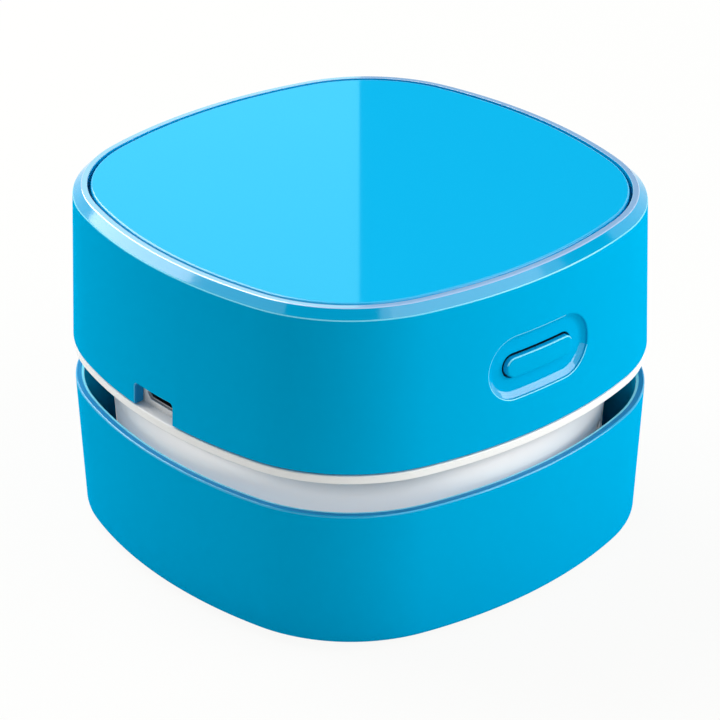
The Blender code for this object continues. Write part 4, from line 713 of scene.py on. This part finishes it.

# Unpainted white ABS is satin, its tone drifting slightly warm.
white_abs = moulded_plastic("white ABS satin moulding", "#F8F8F6", "#F4F4F1", 0.32, 0.0009,
                            0.000002, specular=0.4)
flange_under = floor_top + FIT_GAP
duct = new_piece("dust_chimney", pill(duct_length, duct_width, duct_low.z, duct_high.z, 0.0003))
carve(duct, pill(duct_length + 2 * DUCT_FLANGE, duct_width + 2 * DUCT_FLANGE, flange_under,
                 flange_under + FLANGE_THICKNESS, 0.0004), "UNION")
carve(duct, pill(MOUTH_LENGTH, MOUTH_WIDTH, duct_low.z - OVERRUN, duct_high.z + OVERRUN))
duct.data.materials.append(white_abs)
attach(duct, "dust_cup")
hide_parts("inlet_duct")


# Filter: a dark spoked cage with a pull knob under its middle carries a disc of pressed felt. A
# flat rubber ring on its rim seals against the fan housing.
cage_low, cage_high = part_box("filter_frame")
felt_low, felt_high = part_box("filter_pad")
seal_low, seal_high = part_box("filter_seal")
PULL_RADIUS = 0.0032
CAGE_RIM = 0.0056
SPOKE_WIDTH = 0.0022
SPOKE_THICKNESS = 0.0006
SEAL_WIDTH = 0.0042

cage_under = bin_top + FIT_GAP
window = cage_high.x - CAGE_RIM


def cross_bars(piece, reach, half_width, low, high):
    """Joins two crossed bars onto a round piece."""
    for across, along in ((reach, half_width), (half_width, reach)):
        carve(piece, block((-across, -along, low), (across, along, high)), "UNION")


cage = new_piece("filter_cage", turned([
    (cage_high.x, cage_under), (cage_high.x, cage_high.z), (window, cage_high.z),
    (window, cage_under)],
    rounds=((0, *SOFT_EDGE), (1, *SOFT_EDGE), (2, *FINE_EDGE), (3, *FINE_EDGE)),
    steps=ROUND_STEPS))
cross_bars(cage, window + FIT_GAP, SPOKE_WIDTH / 2, cage_under, cage_under + SPOKE_THICKNESS)
carve(cage, turned([
    (0, cage_low.z), (PULL_RADIUS, cage_low.z), (PULL_RADIUS, cage_under + SPOKE_THICKNESS / 2),
    (0, cage_under + SPOKE_THICKNESS / 2)], rounds=((1, 0.0004, 4),), closed=False, steps=64),
    "UNION")
cage.data.materials.append(dark_abs)
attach(cage, "filter_unit")
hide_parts("filter_frame")

# Pressed felt: matted white fibres with a soft nap and no shine.
FIBRE_SPACING = 0.0003
FIBRE_DEPTH = 0.00008
FELT_CROWN = 0.00025
felt, tree, place = patterned_material("white polyester pressed felt")
drawn = add(tree, "ShaderNodeMapping", {"Vector": place, "Scale": (1, 0.3, 1)})
fibres = add(tree, "ShaderNodeTexNoise", {
    "Vector": drawn.outputs[0], "Scale": 1 / FIBRE_SPACING, "Detail": 5.0, "Roughness": 0.7,
    "Distortion": 0.6}).outputs["Fac"]
textured(tree, fibres, fibres, ("#D2D0C6", "#ECEBE4"), FIBRE_DEPTH,
         {"Roughness": 0.95, "Sheen Weight": 0.3, "Sheen Roughness": 0.5}, 0.8)
felt_bm = turned([
    (0, felt_low.z), (felt_high.x, felt_low.z), (felt_high.x, felt_high.z - FELT_CROWN),
    (0, felt_high.z)], rounds=((1, *SOFT_EDGE), (2, 0.0004, 4)), closed=False,
    steps=ROUND_STEPS)
felt_disc = new_piece("felt_disc", felt_bm, 60)
felt_disc.data.materials.append(felt)
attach(felt_disc, "filter_unit")
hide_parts("filter_pad")

seal_rubber = moulded_plastic("black rubber seal ring", "#202021", "#29292A", 0.7, 0.0005, 0.000008,
                              specular=0.3)
seal = new_piece("seal_ring", turned([
    (seal_high.x, seal_low.z), (seal_high.x, seal_high.z), (seal_high.x - SEAL_WIDTH, seal_high.z),
    (seal_high.x - SEAL_WIDTH, seal_low.z)],
    rounds=[(index, *SOFT_EDGE) for index in range(4)], steps=ROUND_STEPS))
seal.data.materials.append(seal_rubber)
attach(seal, "filter_unit")
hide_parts("filter_seal")


# Fan housing: a tapered round bucket of silver grey ABS under the deck. Its floor has the inlet
# eye with a crossed grille, and its wall has four groups of exhaust slots towards the corners.
HOUSING_TAPER = 0.0011
HOUSING_WALL = 0.0015
HOUSING_FLOOR = 0.0016
EYE_RADIUS = 0.0130
GRILLE_BAR = 0.0012
HOUSING_BOSS_RADIUS = 0.0034
COUNTERBORE_DEPTH = 0.0020
SLOT_WIDTH = 0.0036
SLOT_HEIGHT = 0.0046
SLOT_SILL = 0.0006
SLOT_PITCH = 0.0062
SLOTS_PER_CORNER = 4
SLOT_ROUND = 0.0008

# Silver lacquer over ABS has a fine even grain and a soft satin shine.
silver_abs = moulded_plastic("silver lacquer on ABS", "#D6D8DA", "#D2D4D7", 0.35, 0.0006,
                             0.000002, specular=0.3)
housing_low, housing_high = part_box("fan_housing")
plenum_under = seal_high.z + FIT_GAP
plenum_floor = plenum_under + HOUSING_FLOOR
housing_foot = housing_high.x - HOUSING_TAPER


def housing_radius(height):
    """Outer radius of the tapered housing at a height."""
    share = (height - housing_low.z) / (housing_high.z - housing_low.z)
    return housing_foot + HOUSING_TAPER * share


housing = new_piece("fan_bucket", turned([
    (housing_foot, housing_low.z), (housing_high.x, housing_high.z),
    (housing_high.x - HOUSING_WALL, housing_high.z),
    (housing_radius(plenum_floor) - HOUSING_WALL, plenum_floor), (EYE_RADIUS, plenum_floor),
    (EYE_RADIUS, plenum_under), (housing_radius(plenum_under) - HOUSING_WALL, plenum_under),
    (housing_foot - HOUSING_WALL, housing_low.z)],
    rounds=((0, *SOFT_EDGE), (1, *SOFT_EDGE), (2, *SOFT_EDGE), (3, 0.0008, 4), (4, 0.0004, 3),
            (5, 0.0004, 3), (6, 0.0005, 3), (7, *SOFT_EDGE)), steps=ROUND_STEPS))
cross_bars(housing, EYE_RADIUS + FIT_GAP, GRILLE_BAR / 2, plenum_under, plenum_floor - FIT_GAP)
long_screw_places = [centre_of("head_screw_%d" % (index + 1)) for index in range(4)]
carve(housing, join([rod(HOUSING_BOSS_RADIUS, plenum_floor - FIT_GAP, housing_high.z, place, 48)
                     for place in long_screw_places]), "UNION")
carve(housing, join([stepped_hole(plenum_under - OVERRUN, plenum_under + COUNTERBORE_DEPTH,
                                  housing_high.z + OVERRUN, place)
                     for place in long_screw_places]))


def at_corner(bm, corner, aside=0.0):
    """Turns a mesh made on the +X axis to one of the four corners."""
    turn = Matrix.Rotation(math.pi / 4 + corner * math.pi / 2 + aside, 3, "Z")
    bmesh.ops.rotate(bm, verts=bm.verts, cent=(0, 0, 0), matrix=turn)
    return bm


slots = []
for corner in range(4):
    for index in range(SLOTS_PER_CORNER):
        along = (index - (SLOTS_PER_CORNER - 1) / 2) * SLOT_PITCH / housing_high.x
        slot = block((housing_foot - HOUSING_WALL - OVERRUN, -SLOT_WIDTH / 2,
                      plenum_floor + SLOT_SILL),
                     (housing_high.x + OVERRUN, SLOT_WIDTH / 2,
                      plenum_floor + SLOT_SILL + SLOT_HEIGHT))
        ease(slot, [edge for edge in slot.edges
                    if abs(edge.verts[0].co.x - edge.verts[1].co.x) > OVERRUN], SLOT_ROUND, 4)
        slots.append(at_corner(slot, corner, along))
carve(housing, join(slots))
housing.data.materials.append(silver_abs)
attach(housing, "motor_head")
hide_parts("fan_housing")

# A soft lamp at the camera's side fills the exhaust gap. It lights the housing alone.
gap_fill = soft_lamp("gap_fill", math.degrees(VIEW_AZIMUTH) - 10, 34, 0.3, 0.25, 6.2, "#FFF6EE")
lit = bpy.data.collections.new("lit by gap_fill")
lit.objects.link(housing)
gap_fill.light_linking.receiver_collection = lit


# Rotor: black nylon fan wheel pressed on the motor's ground shaft, with the laminated armature,
# its three enamelled copper windings and the copper commutator. These are the CAD solids.
def finish(material, *names):
    """Gives a kept solid its real material."""
    for name in names:
        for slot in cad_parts[name].material_slots:
            slot.material = material


# The wave texture repeats every 0.314 units at a scale of 1.
WAVE_LENGTH = 0.314


def banded(name, shade, second_shade, roughness, spacing, depth, **wave):
    """Metal in even fine ridges at a real spacing, such as stacked sheets or wound wire."""
    material, tree, place = patterned_material(name)
    ridges = add(tree, "ShaderNodeTexWave", {"Vector": place, "Scale": WAVE_LENGTH / spacing},
                 **wave).outputs["Fac"]
    textured(tree, ridges, ridges, (second_shade, shade), depth,
             {"Roughness": roughness, "Metallic": 1.0})
    return material


# Glass-filled nylon is satin black. Ground steel shows fine rings round the shaft.
black_nylon = moulded_plastic("black glass-filled nylon moulding", "#1B1B1D", "#232326", 0.42,
                              0.0005, 0.000005)
ground_steel = metal("ground steel shaft", "#D0D1D1", "#BFC0C1", 0.18, 0.0004, 0.000001,
                     stretch=(0.2, 0.2, 1))
# Stacked sheets of 0.5 mm show as level lines, and 0.3 mm wire as close turns.
sheet_steel = banded("laminated electrical steel", "#8E8F92", "#55565A", 0.45, 0.0005, 0.00003,
                     wave_type="BANDS", bands_direction="Z")
wound_copper = banded("enamelled copper winding", "#C4713A", "#7A3A18", 0.30, 0.0003, 0.00006,
                      wave_type="RINGS", rings_direction="Z")
turned_copper = metal("turned copper commutator", "#C98255", "#AD6A42", 0.3, 0.0003, 0.000002,
                      stretch=(0.2, 0.2, 1))
finish(black_nylon, "impeller")
finish(ground_steel, "motor_shaft")
finish(sheet_steel, "motor_armature")
finish(wound_copper, "armature_coil_1", "armature_coil_2", "armature_coil_3")
finish(turned_copper, "commutator")


# Motor deck: a white ABS plate whose rounded edge shows as the pale line under the shell. It
# carries the deep well for the motor and an upright bracket behind the charging notch.
SHELL_WALL = 0.0018
NOTCH_WIDTH = 0.00975
NOTCH_HEIGHT = 0.00385
DECK_THICKNESS = 0.0015
DECK_EDGE = 0.00025
DECK_RIM_HEIGHT = 0.0018
DECK_RIM_WIDTH = 0.0012
DECK_INSET = 0.0040
WELL_RADIUS = 0.0125
WELL_WALL = 0.0014
WELL_FLOOR = 0.0015
WELL_COLLAR = 0.0025
WELL_HOLE = 0.0035
BRACKET_SIDE = 0.0010
BRACKET_HEAD = 0.0007
BRACKET_DEPTH = 0.0011
SOCKET_CHAMFER = 0.0008
SOCKET_ROUND = 0.0003

deck_low, deck_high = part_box("motor_deck")
shell_low, shell_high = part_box("upper_shell")
socket_low, socket_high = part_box("port_socket")
port_x = (socket_low.x + socket_high.x) / 2
deck_under = housing_high.z + FIT_GAP
deck_top = deck_under + DECK_THICKNESS


def shell_half(height):
    """Half width of the upper shell's outer wall at a height."""
    share = (shell_high.z - height) / (shell_high.z - shell_low.z)
    return BODY_HALF + (shell_high.x - BODY_HALF) * share


def port_block(growth, front, back):
    """Micro charging port's outline, lower corners cut off, run along Y."""
    bm = bmesh.new()
    left, right = socket_low.x - growth, socket_high.x + growth
    low, high = socket_low.z - growth, socket_high.z + growth
    corners = [bm.verts.new((x, front, z))
               for x, z in ((left, high), (left, low), (right, low), (right, high))]
    bm.faces.new(corners)
    ease(bm, corners[1:3], SOCKET_CHAMFER, 1, "VERTICES")
    ease(bm, [vert for vert in bm.verts if vert.co.z > high - TINY], SOCKET_ROUND, 3, "VERTICES")
    raise_face(bm, bm.faces[:][0], (0, back - front, 0))
    return bm


deck_rim = shell_half(deck_top + DECK_RIM_HEIGHT) - SHELL_WALL - FIT_GAP
rim_top = deck_top + DECK_RIM_HEIGHT
deck = new_piece("deck_plate", casing_walls([
    (deck_high.x - DECK_INSET, deck_under), (deck_high.x, deck_under), (deck_high.x, deck_top),
    (deck_rim, deck_top), (deck_rim, rim_top), (deck_rim - DECK_RIM_WIDTH, rim_top),
    (deck_rim - DECK_RIM_WIDTH, deck_top)],
    rounds=((1, DECK_EDGE, 4), (2, DECK_EDGE, 4), (4, *FINE_EDGE), (5, *FINE_EDGE)),
    closed=False))
well_outer = WELL_RADIUS + WELL_WALL
carve(deck, rod(WELL_RADIUS + WELL_WALL / 2, deck_under - OVERRUN, deck_top + OVERRUN, steps=96))
collar = deck_top + WELL_COLLAR
carve(deck, turned([
    (WELL_RADIUS, collar), (well_outer, collar), (well_outer, deck_low.z), (WELL_HOLE, deck_low.z),
    (WELL_HOLE, deck_low.z + WELL_FLOOR), (WELL_RADIUS, deck_low.z + WELL_FLOOR)],
    rounds=((0, *SOFT_EDGE), (1, *SOFT_EDGE), (2, 0.0006, 4)), steps=96), "UNION")
motor_screw_places = [centre_of("motor_screw_left"), centre_of("motor_screw_right")]
carve(deck, join(
    [rod(SCREW_RADIUS + FIT_GAP, deck_under - OVERRUN, deck_top + OVERRUN, place)
     for place in long_screw_places]
    + [rod(SCREW_RADIUS + FIT_GAP, deck_low.z - OVERRUN, deck_low.z + WELL_FLOOR + OVERRUN, place)
       for place in motor_screw_places]))
bracket_face = -(shell_half(shell_low.z + NOTCH_HEIGHT) - SHELL_WALL - FIT_GAP)
bracket_half = NOTCH_WIDTH / 2 + BRACKET_SIDE
bracket = block((port_x - bracket_half, bracket_face, deck_top - FIT_GAP),
                (port_x + bracket_half, bracket_face + BRACKET_DEPTH,
                 shell_low.z + NOTCH_HEIGHT + BRACKET_HEAD))
carve(deck, bracket, "UNION")
carve(deck, port_block(FIT_GAP, bracket_face - OVERRUN, bracket_face + BRACKET_DEPTH + OVERRUN))
deck.data.materials.append(white_abs)
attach(deck, "motor_head")
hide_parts("motor_deck")

# Only the deck and the housing shade that lamp, so its light gets past the cup's rim.
shade = bpy.data.collections.new("shades gap_fill")
shade.objects.link(housing)
shade.objects.link(deck)
gap_fill.light_linking.blocker_collection = shade


# Motor: a small brushed motor in the well, on a rubber gasket, held by two screws from below. Its
# steel can holds two ferrite magnets, two oil-soaked bronze bushes and a nylon end cap.
drawn_steel = metal("zinc plated drawn steel can", "#C4C6C7", "#AFB2B4", 0.30, 0.0010, 0.000002,
                    stretch=(1, 1, 0.15))
bronze = metal("sintered bronze bush", "#A9763F", "#84592C", 0.5, 0.0002, 0.00001)
ferrite = moulded_plastic("ground ferrite magnet", "#3A3A3D", "#2E2E31", 0.6, 0.0003, 0.00001)
gasket_rubber = moulded_plastic("black rubber die-cut gasket", "#222223", "#2B2B2C", 0.75, 0.0004,
                                0.00001, specular=0.3)
finish(drawn_steel, "motor_can")
finish(bronze, "motor_bush_lower", "motor_bush_upper")
finish(ferrite, "magnet_left", "magnet_right")
finish(black_nylon, "motor_end_cap")
finish(gasket_rubber, "motor_gasket")
slotted_screw("well_screw_left", "motor_screw_left", "motor_head")
slotted_screw("well_screw_right", "motor_screw_right", "motor_head")


# Battery: a lithium cell in shrink sleeve, lying on a strip of black foam tape, with a welded
# nickel tab at each end. Sleeved leads run from the tabs to the charge board.
sleeve = moulded_plastic("green PVC shrink sleeve", "#235A43", "#1E5139", 0.32, 0.0030, 0.00003)
nickel = metal("nickel strip", "#CFCBC2", "#BDB8AE", 0.25, 0.0005, 0.000002, stretch=(1, 1, 0.2))
finish(sleeve, "battery_cell")
finish(nickel, "battery_tab_minus", "battery_tab_plus")

# Open-cell foam is dull black with pores of about half a millimetre.
PORE_SIZE = 0.0005
PORE_DEPTH = 0.0001
foam, tree, place = patterned_material("black open-cell foam tape")
pores = add(tree, "ShaderNodeTexVoronoi", {"Vector": place,
                                           "Scale": 1 / PORE_SIZE}).outputs["Distance"]
textured(tree, pores, pores, ("#141415", "#303032"), PORE_DEPTH, {"Roughness": 0.95})
tape_low, tape_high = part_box("battery_pad")
tape_bm = block(tape_low, tape_high)
ease(tape_bm, tape_bm.edges[:], 0.00018, 3)
tape = new_piece("foam_tape", tape_bm, 60)
tape.data.materials.append(foam)
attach(tape, "motor_head")
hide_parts("battery_pad")


def sleeve_wires(hue, shade, second_shade, *names):
    """PVC wire sleeve is satin, in the usual colour for each lead."""
    finish(moulded_plastic(hue + " PVC wire sleeve", shade, second_shade, 0.38, 0.0012, 0.000006),
           *names)


sleeve_wires("red", "#C4242A", "#B81F25", "battery_wire_plus", "motor_wire_plus")
sleeve_wires("black", "#232324", "#1C1C1D", "battery_wire_minus", "motor_wire_minus")


# Charge board: a fibreglass board that stands on the deck behind the notch, with the steel shell
# of the micro charging port, its black tongue and a small status light.
THREAD_SPACING = 0.0006
WEAVE_DEPTH = 0.00001

# Glass cloth in epoxy under solder mask shows a faint square weave through a glossy skin.
green_board, tree, place = patterned_material("green fibreglass circuit board")
warp, weft = [add(tree, "ShaderNodeTexWave", {
    "Vector": place, "Scale": WAVE_LENGTH / THREAD_SPACING}, wave_type="BANDS",
    bands_direction=way).outputs["Fac"] for way in "XY"]
weave = add(tree, "ShaderNodeMath", {0: warp, 1: weft}, operation="MULTIPLY").outputs[0]
textured(tree, weave, weave, ("#17512F", "#1F6239"), WEAVE_DEPTH, {"Roughness": 0.3, "IOR": 1.55})
finish(green_board, "charge_board", "switch_board")
finish(black_nylon, "port_tongue")
finish(moulded_plastic("red cast resin light", "#E2604F", "#DB5646", 0.12, 0.0010, 0.000002),
       "charge_led")

SOCKET_WALL = 0.0002
SOCKET_BACK = 0.0005
tinned_steel = metal("tinned stamped steel", "#A9AAAB", "#97999B", 0.35, 0.0008, 0.000002)
socket = new_piece("port_mouth", port_block(0, socket_low.y, socket_high.y))
carve(socket, port_block(-SOCKET_WALL, socket_low.y - OVERRUN, socket_high.y - SOCKET_BACK))


def port_steel_and_painted_shade(polygon):
    """Steel outside, and black inside the mouth, painted shade for the port's dark depth."""
    place = polygon.center
    margin = SOCKET_WALL / 2
    inside = (socket_low.x + margin < place.x < socket_high.x - margin
              and socket_low.z + margin < place.z < socket_high.z - margin
              and socket_low.y + TINY < place.y < socket_high.y - margin)
    return int(inside)


paint(socket, (tinned_steel, black_nylon), port_steel_and_painted_shade)
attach(socket, "motor_head")
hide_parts("port_socket")


# Push switch: a black nylon body on its own upright board behind the button. The button presses
# its white acetal plunger, and two sleeved leads run to the charge board.
acetal = moulded_plastic("white acetal moulding", "#E6E5E0", "#DEDDD7", 0.35, 0.0010, 0.000002)
finish(black_nylon, "switch_body")
finish(acetal, "switch_plunger")
sleeve_wires("white", "#DCDBD6", "#D3D2CC", "switch_wire_left")
sleeve_wires("yellow", "#D8B42C", "#CDA922", "switch_wire_right")


# Upper shell: the head's casing ring, moulded in the same gloss blue, with a chamfered rim round
# the cap's seat, a bevelled recess for the button and a notch for the charging port. Four bosses
# inside take the long screws.
RIM_CHAMFER = 0.00145
RIM_LAND = 0.0010
SEAT_WIDTH = 0.0016
SEAT_DEPTH = 0.0021
SEAT_THICKNESS = 0.0014
BUTTON_Y = -0.00033
BUTTON_RISE = 0.01235
RECESS_LENGTH = 0.0216
RECESS_HEIGHT = 0.0109
RECESS_DEPTH = 0.0010
RECESS_STEP = 0.00016
RECESS_STEP_DEPTH = 0.00036
RECESS_INSET = 0.00105
HOLE_INSET = 0.00335
NOTCH_ROUND = 0.0008
NOTCH_LIP = 0.00012
SHELL_BOSS_RADIUS = 0.0030
SHELL_BOSS_HEIGHT = 0.0120
SHELL_RIB_WIDTH = 0.0016
SHELL_RIB_START = 0.0040
SCREW_BITE = 0.0080
WRAP_STEP = 0.0006
LAND_BAND = 0.0001
EDGE_BAND = 0.00008
SUNK = 0.00002

button_z = shell_low.z + BUTTON_RISE
# Painted highlight: the top land's pale colour stands for the bright line that its polish shows.
painted_highlight_land = moulded_plastic("blue ABS painted highlight land", "#95BCE3", "#93BAE2", 0.05, 0.0030,
                            0.0000004, specular=1.0, coat=1.0)


def wall_at(along, height):
    """Distance of the shell's outer face from the middle, at a place along that wall."""
    radius = SIDE_RADIUS + shell_half(height) - BODY_HALF
    return shell_half(height) - radius + math.sqrt(radius ** 2 - along ** 2)


def stack_rings(bm, count):
    """Extrudes a closed outline wire into a stack of rings, with a face over the first."""
    ring = bm.edges[:]
    bmesh.ops.contextual_create(bm, geom=ring)
    rings = [ring]
    while len(rings) < count:
        made = bmesh.ops.extrude_edge_only(bm, edges=ring)["geom"]
        fresh = {item for item in made if isinstance(item, bmesh.types.BMVert)}
        ring = [edge for edge in bm.edges if set(edge.verts) <= fresh]
        rings.append(ring)
    return rings


def pill_on_wall(half_length, half_height, path, rounds=()):
    """Round-ended block lying along Y and bent to follow the +X wall.

    The path's (growth, depth) points say how far the outline has grown and how deep it is
    sunk below the wall's face. Rounds are (path index, radius, segments).
    """
    bm = bmesh.new()
    straight = half_length - half_height
    round_ended(bm, straight, half_height, Vector((0, 1, 0)), Vector((0, 0, 1)), steps=32)
    rings = stack_rings(bm, len(path))
    for (growth, depth), ring in zip(path, rings):
        for vert in {vert for edge in ring for vert in edge.verts}:
            spine = Vector((0, max(-straight, min(straight, vert.co.y)), 0))
            away = vert.co - spine
            vert.co = spine + away.normalized() * (half_height + growth)
            vert.co.x = -depth
    bmesh.ops.contextual_create(bm, geom=rings[-1])
    for index, radius, segments in rounds:
        ease(bm, rings[index], radius, segments)
    cuts = int(2 * half_length / WRAP_STEP)
    for cut in range(1, cuts):
        place = half_length * (2 * cut / cuts - 1)
        bmesh.ops.bisect_plane(bm, geom=bm.verts[:] + bm.edges[:] + bm.faces[:], dist=TINY,
                               plane_co=(0, place, 0), plane_no=(0, 1, 0))
    bmesh.ops.translate(bm, verts=bm.verts, vec=(0, BUTTON_Y, button_z))
    for vert in bm.verts:
        vert.co.x += wall_at(vert.co.y, vert.co.z)
    return bm


opening_half = BODY_HALF - RIM_CHAMFER - RIM_LAND
seat = shell_high.z - SEAT_DEPTH
seat_under = seat - SEAT_THICKNESS
chamfer_foot = shell_high.z - RIM_CHAMFER
shell = new_piece("head_shell", casing_walls([
    (shell_high.x, shell_low.z), (shell_half(chamfer_foot), chamfer_foot),
    (BODY_HALF - RIM_CHAMFER, shell_high.z), (opening_half, shell_high.z), (opening_half, seat),
    (opening_half - SEAT_WIDTH, seat), (opening_half - SEAT_WIDTH, seat_under),
    (shell_half(seat_under) - SHELL_WALL, seat_under), (shell_high.x - SHELL_WALL, shell_low.z)],
    rounds=((0, 0.00025, 2), (1, 0.00016, 3), (2, 0.00012, 2), (3, 0.00008, 2))))
carve(shell, pill_on_wall(RECESS_LENGTH / 2, RECESS_HEIGHT / 2, (
    (0.0003, -0.0020), (0.0003, -0.00003), (0.00004, 0.000012), (-0.000026, 0.00004),
    (-0.000088, 0.000088), (-RECESS_STEP, RECESS_STEP_DEPTH), (-RECESS_INSET, RECESS_DEPTH),
    (-HOLE_INSET, RECESS_DEPTH), (-HOLE_INSET, SHELL_WALL + OVERRUN)), rounds=((6, 0.0004, 4),)))

notch_top = shell_low.z + NOTCH_HEIGHT
notch = bmesh.new()
corners = [notch.verts.new((x, 0, z)) for x, z in (
    (-NOTCH_WIDTH / 2, shell_low.z - OVERRUN), (NOTCH_WIDTH / 2, shell_low.z - OVERRUN),
    (NOTCH_WIDTH / 2, notch_top), (-NOTCH_WIDTH / 2, notch_top))]
for pair in zip(corners, corners[1:] + corners[:1]):
    notch.edges.new(pair)
ease(notch, corners[2:], NOTCH_ROUND, 6, "VERTICES")
long_edges = [edge for edge in notch.edges if edge.calc_length() > NOTCH_WIDTH / 2]
bmesh.ops.subdivide_edges(notch, edges=long_edges, cuts=12)
levels = ((NOTCH_LIP, -OVERRUN), (NOTCH_LIP, 0), (0, NOTCH_LIP), (0, SHELL_WALL + 2 * OVERRUN))
rings = stack_rings(notch, len(levels))
for (growth, depth), ring in zip(levels, rings):
    for vert in {vert for edge in ring for vert in edge.verts}:
        vert.co.x += math.copysign(growth, vert.co.x)
        vert.co.z += growth if vert.co.z > shell_low.z else 0
        vert.co.y = depth
bmesh.ops.contextual_create(notch, geom=rings[-1])
bmesh.ops.translate(notch, verts=notch.verts, vec=(port_x, 0, 0))
for vert in notch.verts:
    vert.co.y -= wall_at(vert.co.x, vert.co.z)
carve(shell, notch)

boss_top = shell_low.z + SHELL_BOSS_HEIGHT
carve(shell, join([rod(SHELL_BOSS_RADIUS, shell_low.z, boss_top, place, 48)
                   for place in long_screw_places]), "UNION")
screw_reach = Vector(long_screw_places[0]).length
corner_wall = (corner_centre() * math.sqrt(2) + CORNER_RADIUS + shell_half(boss_top) - BODY_HALF
               - SHELL_WALL / 2)
carve(shell, join([at_corner(block(
    (screw_reach, -SHELL_RIB_WIDTH / 2, shell_low.z + SHELL_RIB_START),
    (corner_wall, SHELL_RIB_WIDTH / 2, boss_top - FIT_GAP)), corner) for corner in range(4)]),
    "UNION")
carve(shell, join([rod(SCREW_RADIUS + FIT_GAP, shell_low.z - OVERRUN, shell_low.z + SCREW_BITE
                       + FIT_GAP, place) for place in long_screw_places]))


def shell_blue(polygon):
    """Satin wall, polished chamfers, painted highlights on the land and edges, painted shade in the
    notch.
    """
    place, tilt = polygon.center, polygon.normal
    if place.z > shell_high.z - LAND_BAND and tilt.z > 0.8:
        return 3
    if place.z > chamfer_foot - EDGE_BAND:
        return 2 if place.z < chamfer_foot + EDGE_BAND and tilt.z > 0.1 else 1
    sunk = wall_at(place.x, place.z) + place.y
    if sunk > SUNK and abs(place.x - port_x) < NOTCH_WIDTH / 2 + NOTCH_LIP and (
            place.z < notch_top + NOTCH_LIP and sunk < SHELL_WALL and abs(tilt.y) < 0.9):
        return 1 if sunk < NOTCH_LIP else 4
    sunk = wall_at(place.y, place.z) - place.x
    reach = (RECESS_LENGTH - RECESS_HEIGHT) / 2
    across = place.y - BUTTON_Y
    away = math.hypot(across - max(-reach, min(reach, across)), place.z - button_z)
    inset = RECESS_HEIGHT / 2 - away
    if not (TINY < sunk < RECESS_DEPTH - TINY and -LAND_BAND < inset < RECESS_INSET + LAND_BAND):
        return 0
    if inset < LAND_BAND:
        return 0 if across > reach and place.z > button_z - RECESS_HEIGHT / 6 else 2
    return int(tilt.z > 0.2)


paint(shell, (wall_blue, rim_blue, painted_highlight_blue, painted_highlight_land, painted_shade_blue), shell_blue)
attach(shell, "motor_head")
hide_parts("upper_shell")

for index in range(4):
    slotted_screw("long_screw_%d" % (index + 1), "head_screw_%d" % (index + 1), "motor_head")


# Power button: a blue ABS pill with a softened edge that stands in the recess. A flange behind the
# wall keeps it in, and it slides in on the switch.
BUTTON_LENGTH = 0.0143
BUTTON_HEIGHT = 0.0034
BUTTON_DEPTH = 0.0001
BUTTON_EDGE = 0.0003
BUTTON_FLANGE = 0.0012
BUTTON_REACH = 0.0050
button_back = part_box("power_button")[0].x
button_bm = pill_on_wall(BUTTON_LENGTH / 2, BUTTON_HEIGHT / 2, (
    (0, BUTTON_DEPTH), (0, RECESS_DEPTH), (0, SHELL_WALL + FIT_GAP),
    (BUTTON_FLANGE, SHELL_WALL + FIT_GAP), (BUTTON_FLANGE, BUTTON_REACH)),
    rounds=((0, BUTTON_EDGE, 4),))
for vert in button_bm.verts:
    vert.co.x = max(vert.co.x, button_back)
button = new_piece("button_pill", button_bm)


def button_blue(polygon):
    """Satin face, painted highlight on the upper edge, polished sides, painted shade on the skirt.
    """
    sunk = wall_at(polygon.center.y, polygon.center.z) - polygon.center.x
    if sunk < BUTTON_DEPTH + SUNK:
        return 0
    if sunk > RECESS_DEPTH:
        return 3
    if sunk > BUTTON_DEPTH + BUTTON_EDGE * 0.7:
        return 1
    return 2 if polygon.normal.z > 0.3 else 0


# Painted shade: the skirt is near black for the dark gap round the button in the wall's hole.
painted_shade_skirt = moulded_plastic("navy ABS painted shade skirt", "#051F33", "#041C2E", 0.5, 0.0008,
                             0.0000004, specular=0.2)
paint(button, (wall_blue, rim_blue, painted_highlight_blue, painted_shade_skirt), button_blue)
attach(button, "power_button")
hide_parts("power_button")


# Top cap: a flat blue lid with a softly rounded edge, moulded in high gloss. A ring under it snaps
# into the shell's seat, and the gap round it shows as a dark seam.
CAP_THICKNESS = 0.0018
CAP_EDGE = 0.0004
CAP_RING_WIDTH = 0.0012
CAP_LIP = 0.0007
CAP_SEAM = 0.0005
CAP_INSET = 0.0020
cap_low, cap_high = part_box("top_cap")
cap_half = opening_half - CAP_SEAM
cap_under = cap_high.z - CAP_THICKNESS
cap_ring = opening_half - SEAT_WIDTH - FIT_GAP
lip_top = seat_under - FIT_GAP

# The lid's face is polished to a mirror, and its blue is a shade lighter than the walls'.
cap_blue = moulded_plastic("blue ABS high gloss lid", "#0EB1E4", "#0EAFE3", 0.03, 0.0030,
                           0.0000002)
cap = new_piece("lid", casing_walls([
    (cap_half - CAP_INSET, cap_high.z), (cap_half, cap_high.z), (cap_half, cap_under),
    (cap_ring, cap_under), (cap_ring, lip_top), (cap_ring + CAP_LIP, lip_top),
    (cap_ring, cap_low.z), (cap_ring - CAP_RING_WIDTH, cap_low.z),
    (cap_ring - CAP_RING_WIDTH, cap_under)],
    rounds=((1, CAP_EDGE, 5), (2, *FINE_EDGE)), closed=False))
cap.data.materials.append(cap_blue)
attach(cap, "motor_head")
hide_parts("top_cap")


view = bpy.context.scene.view_settings
view.view_transform = "Standard"
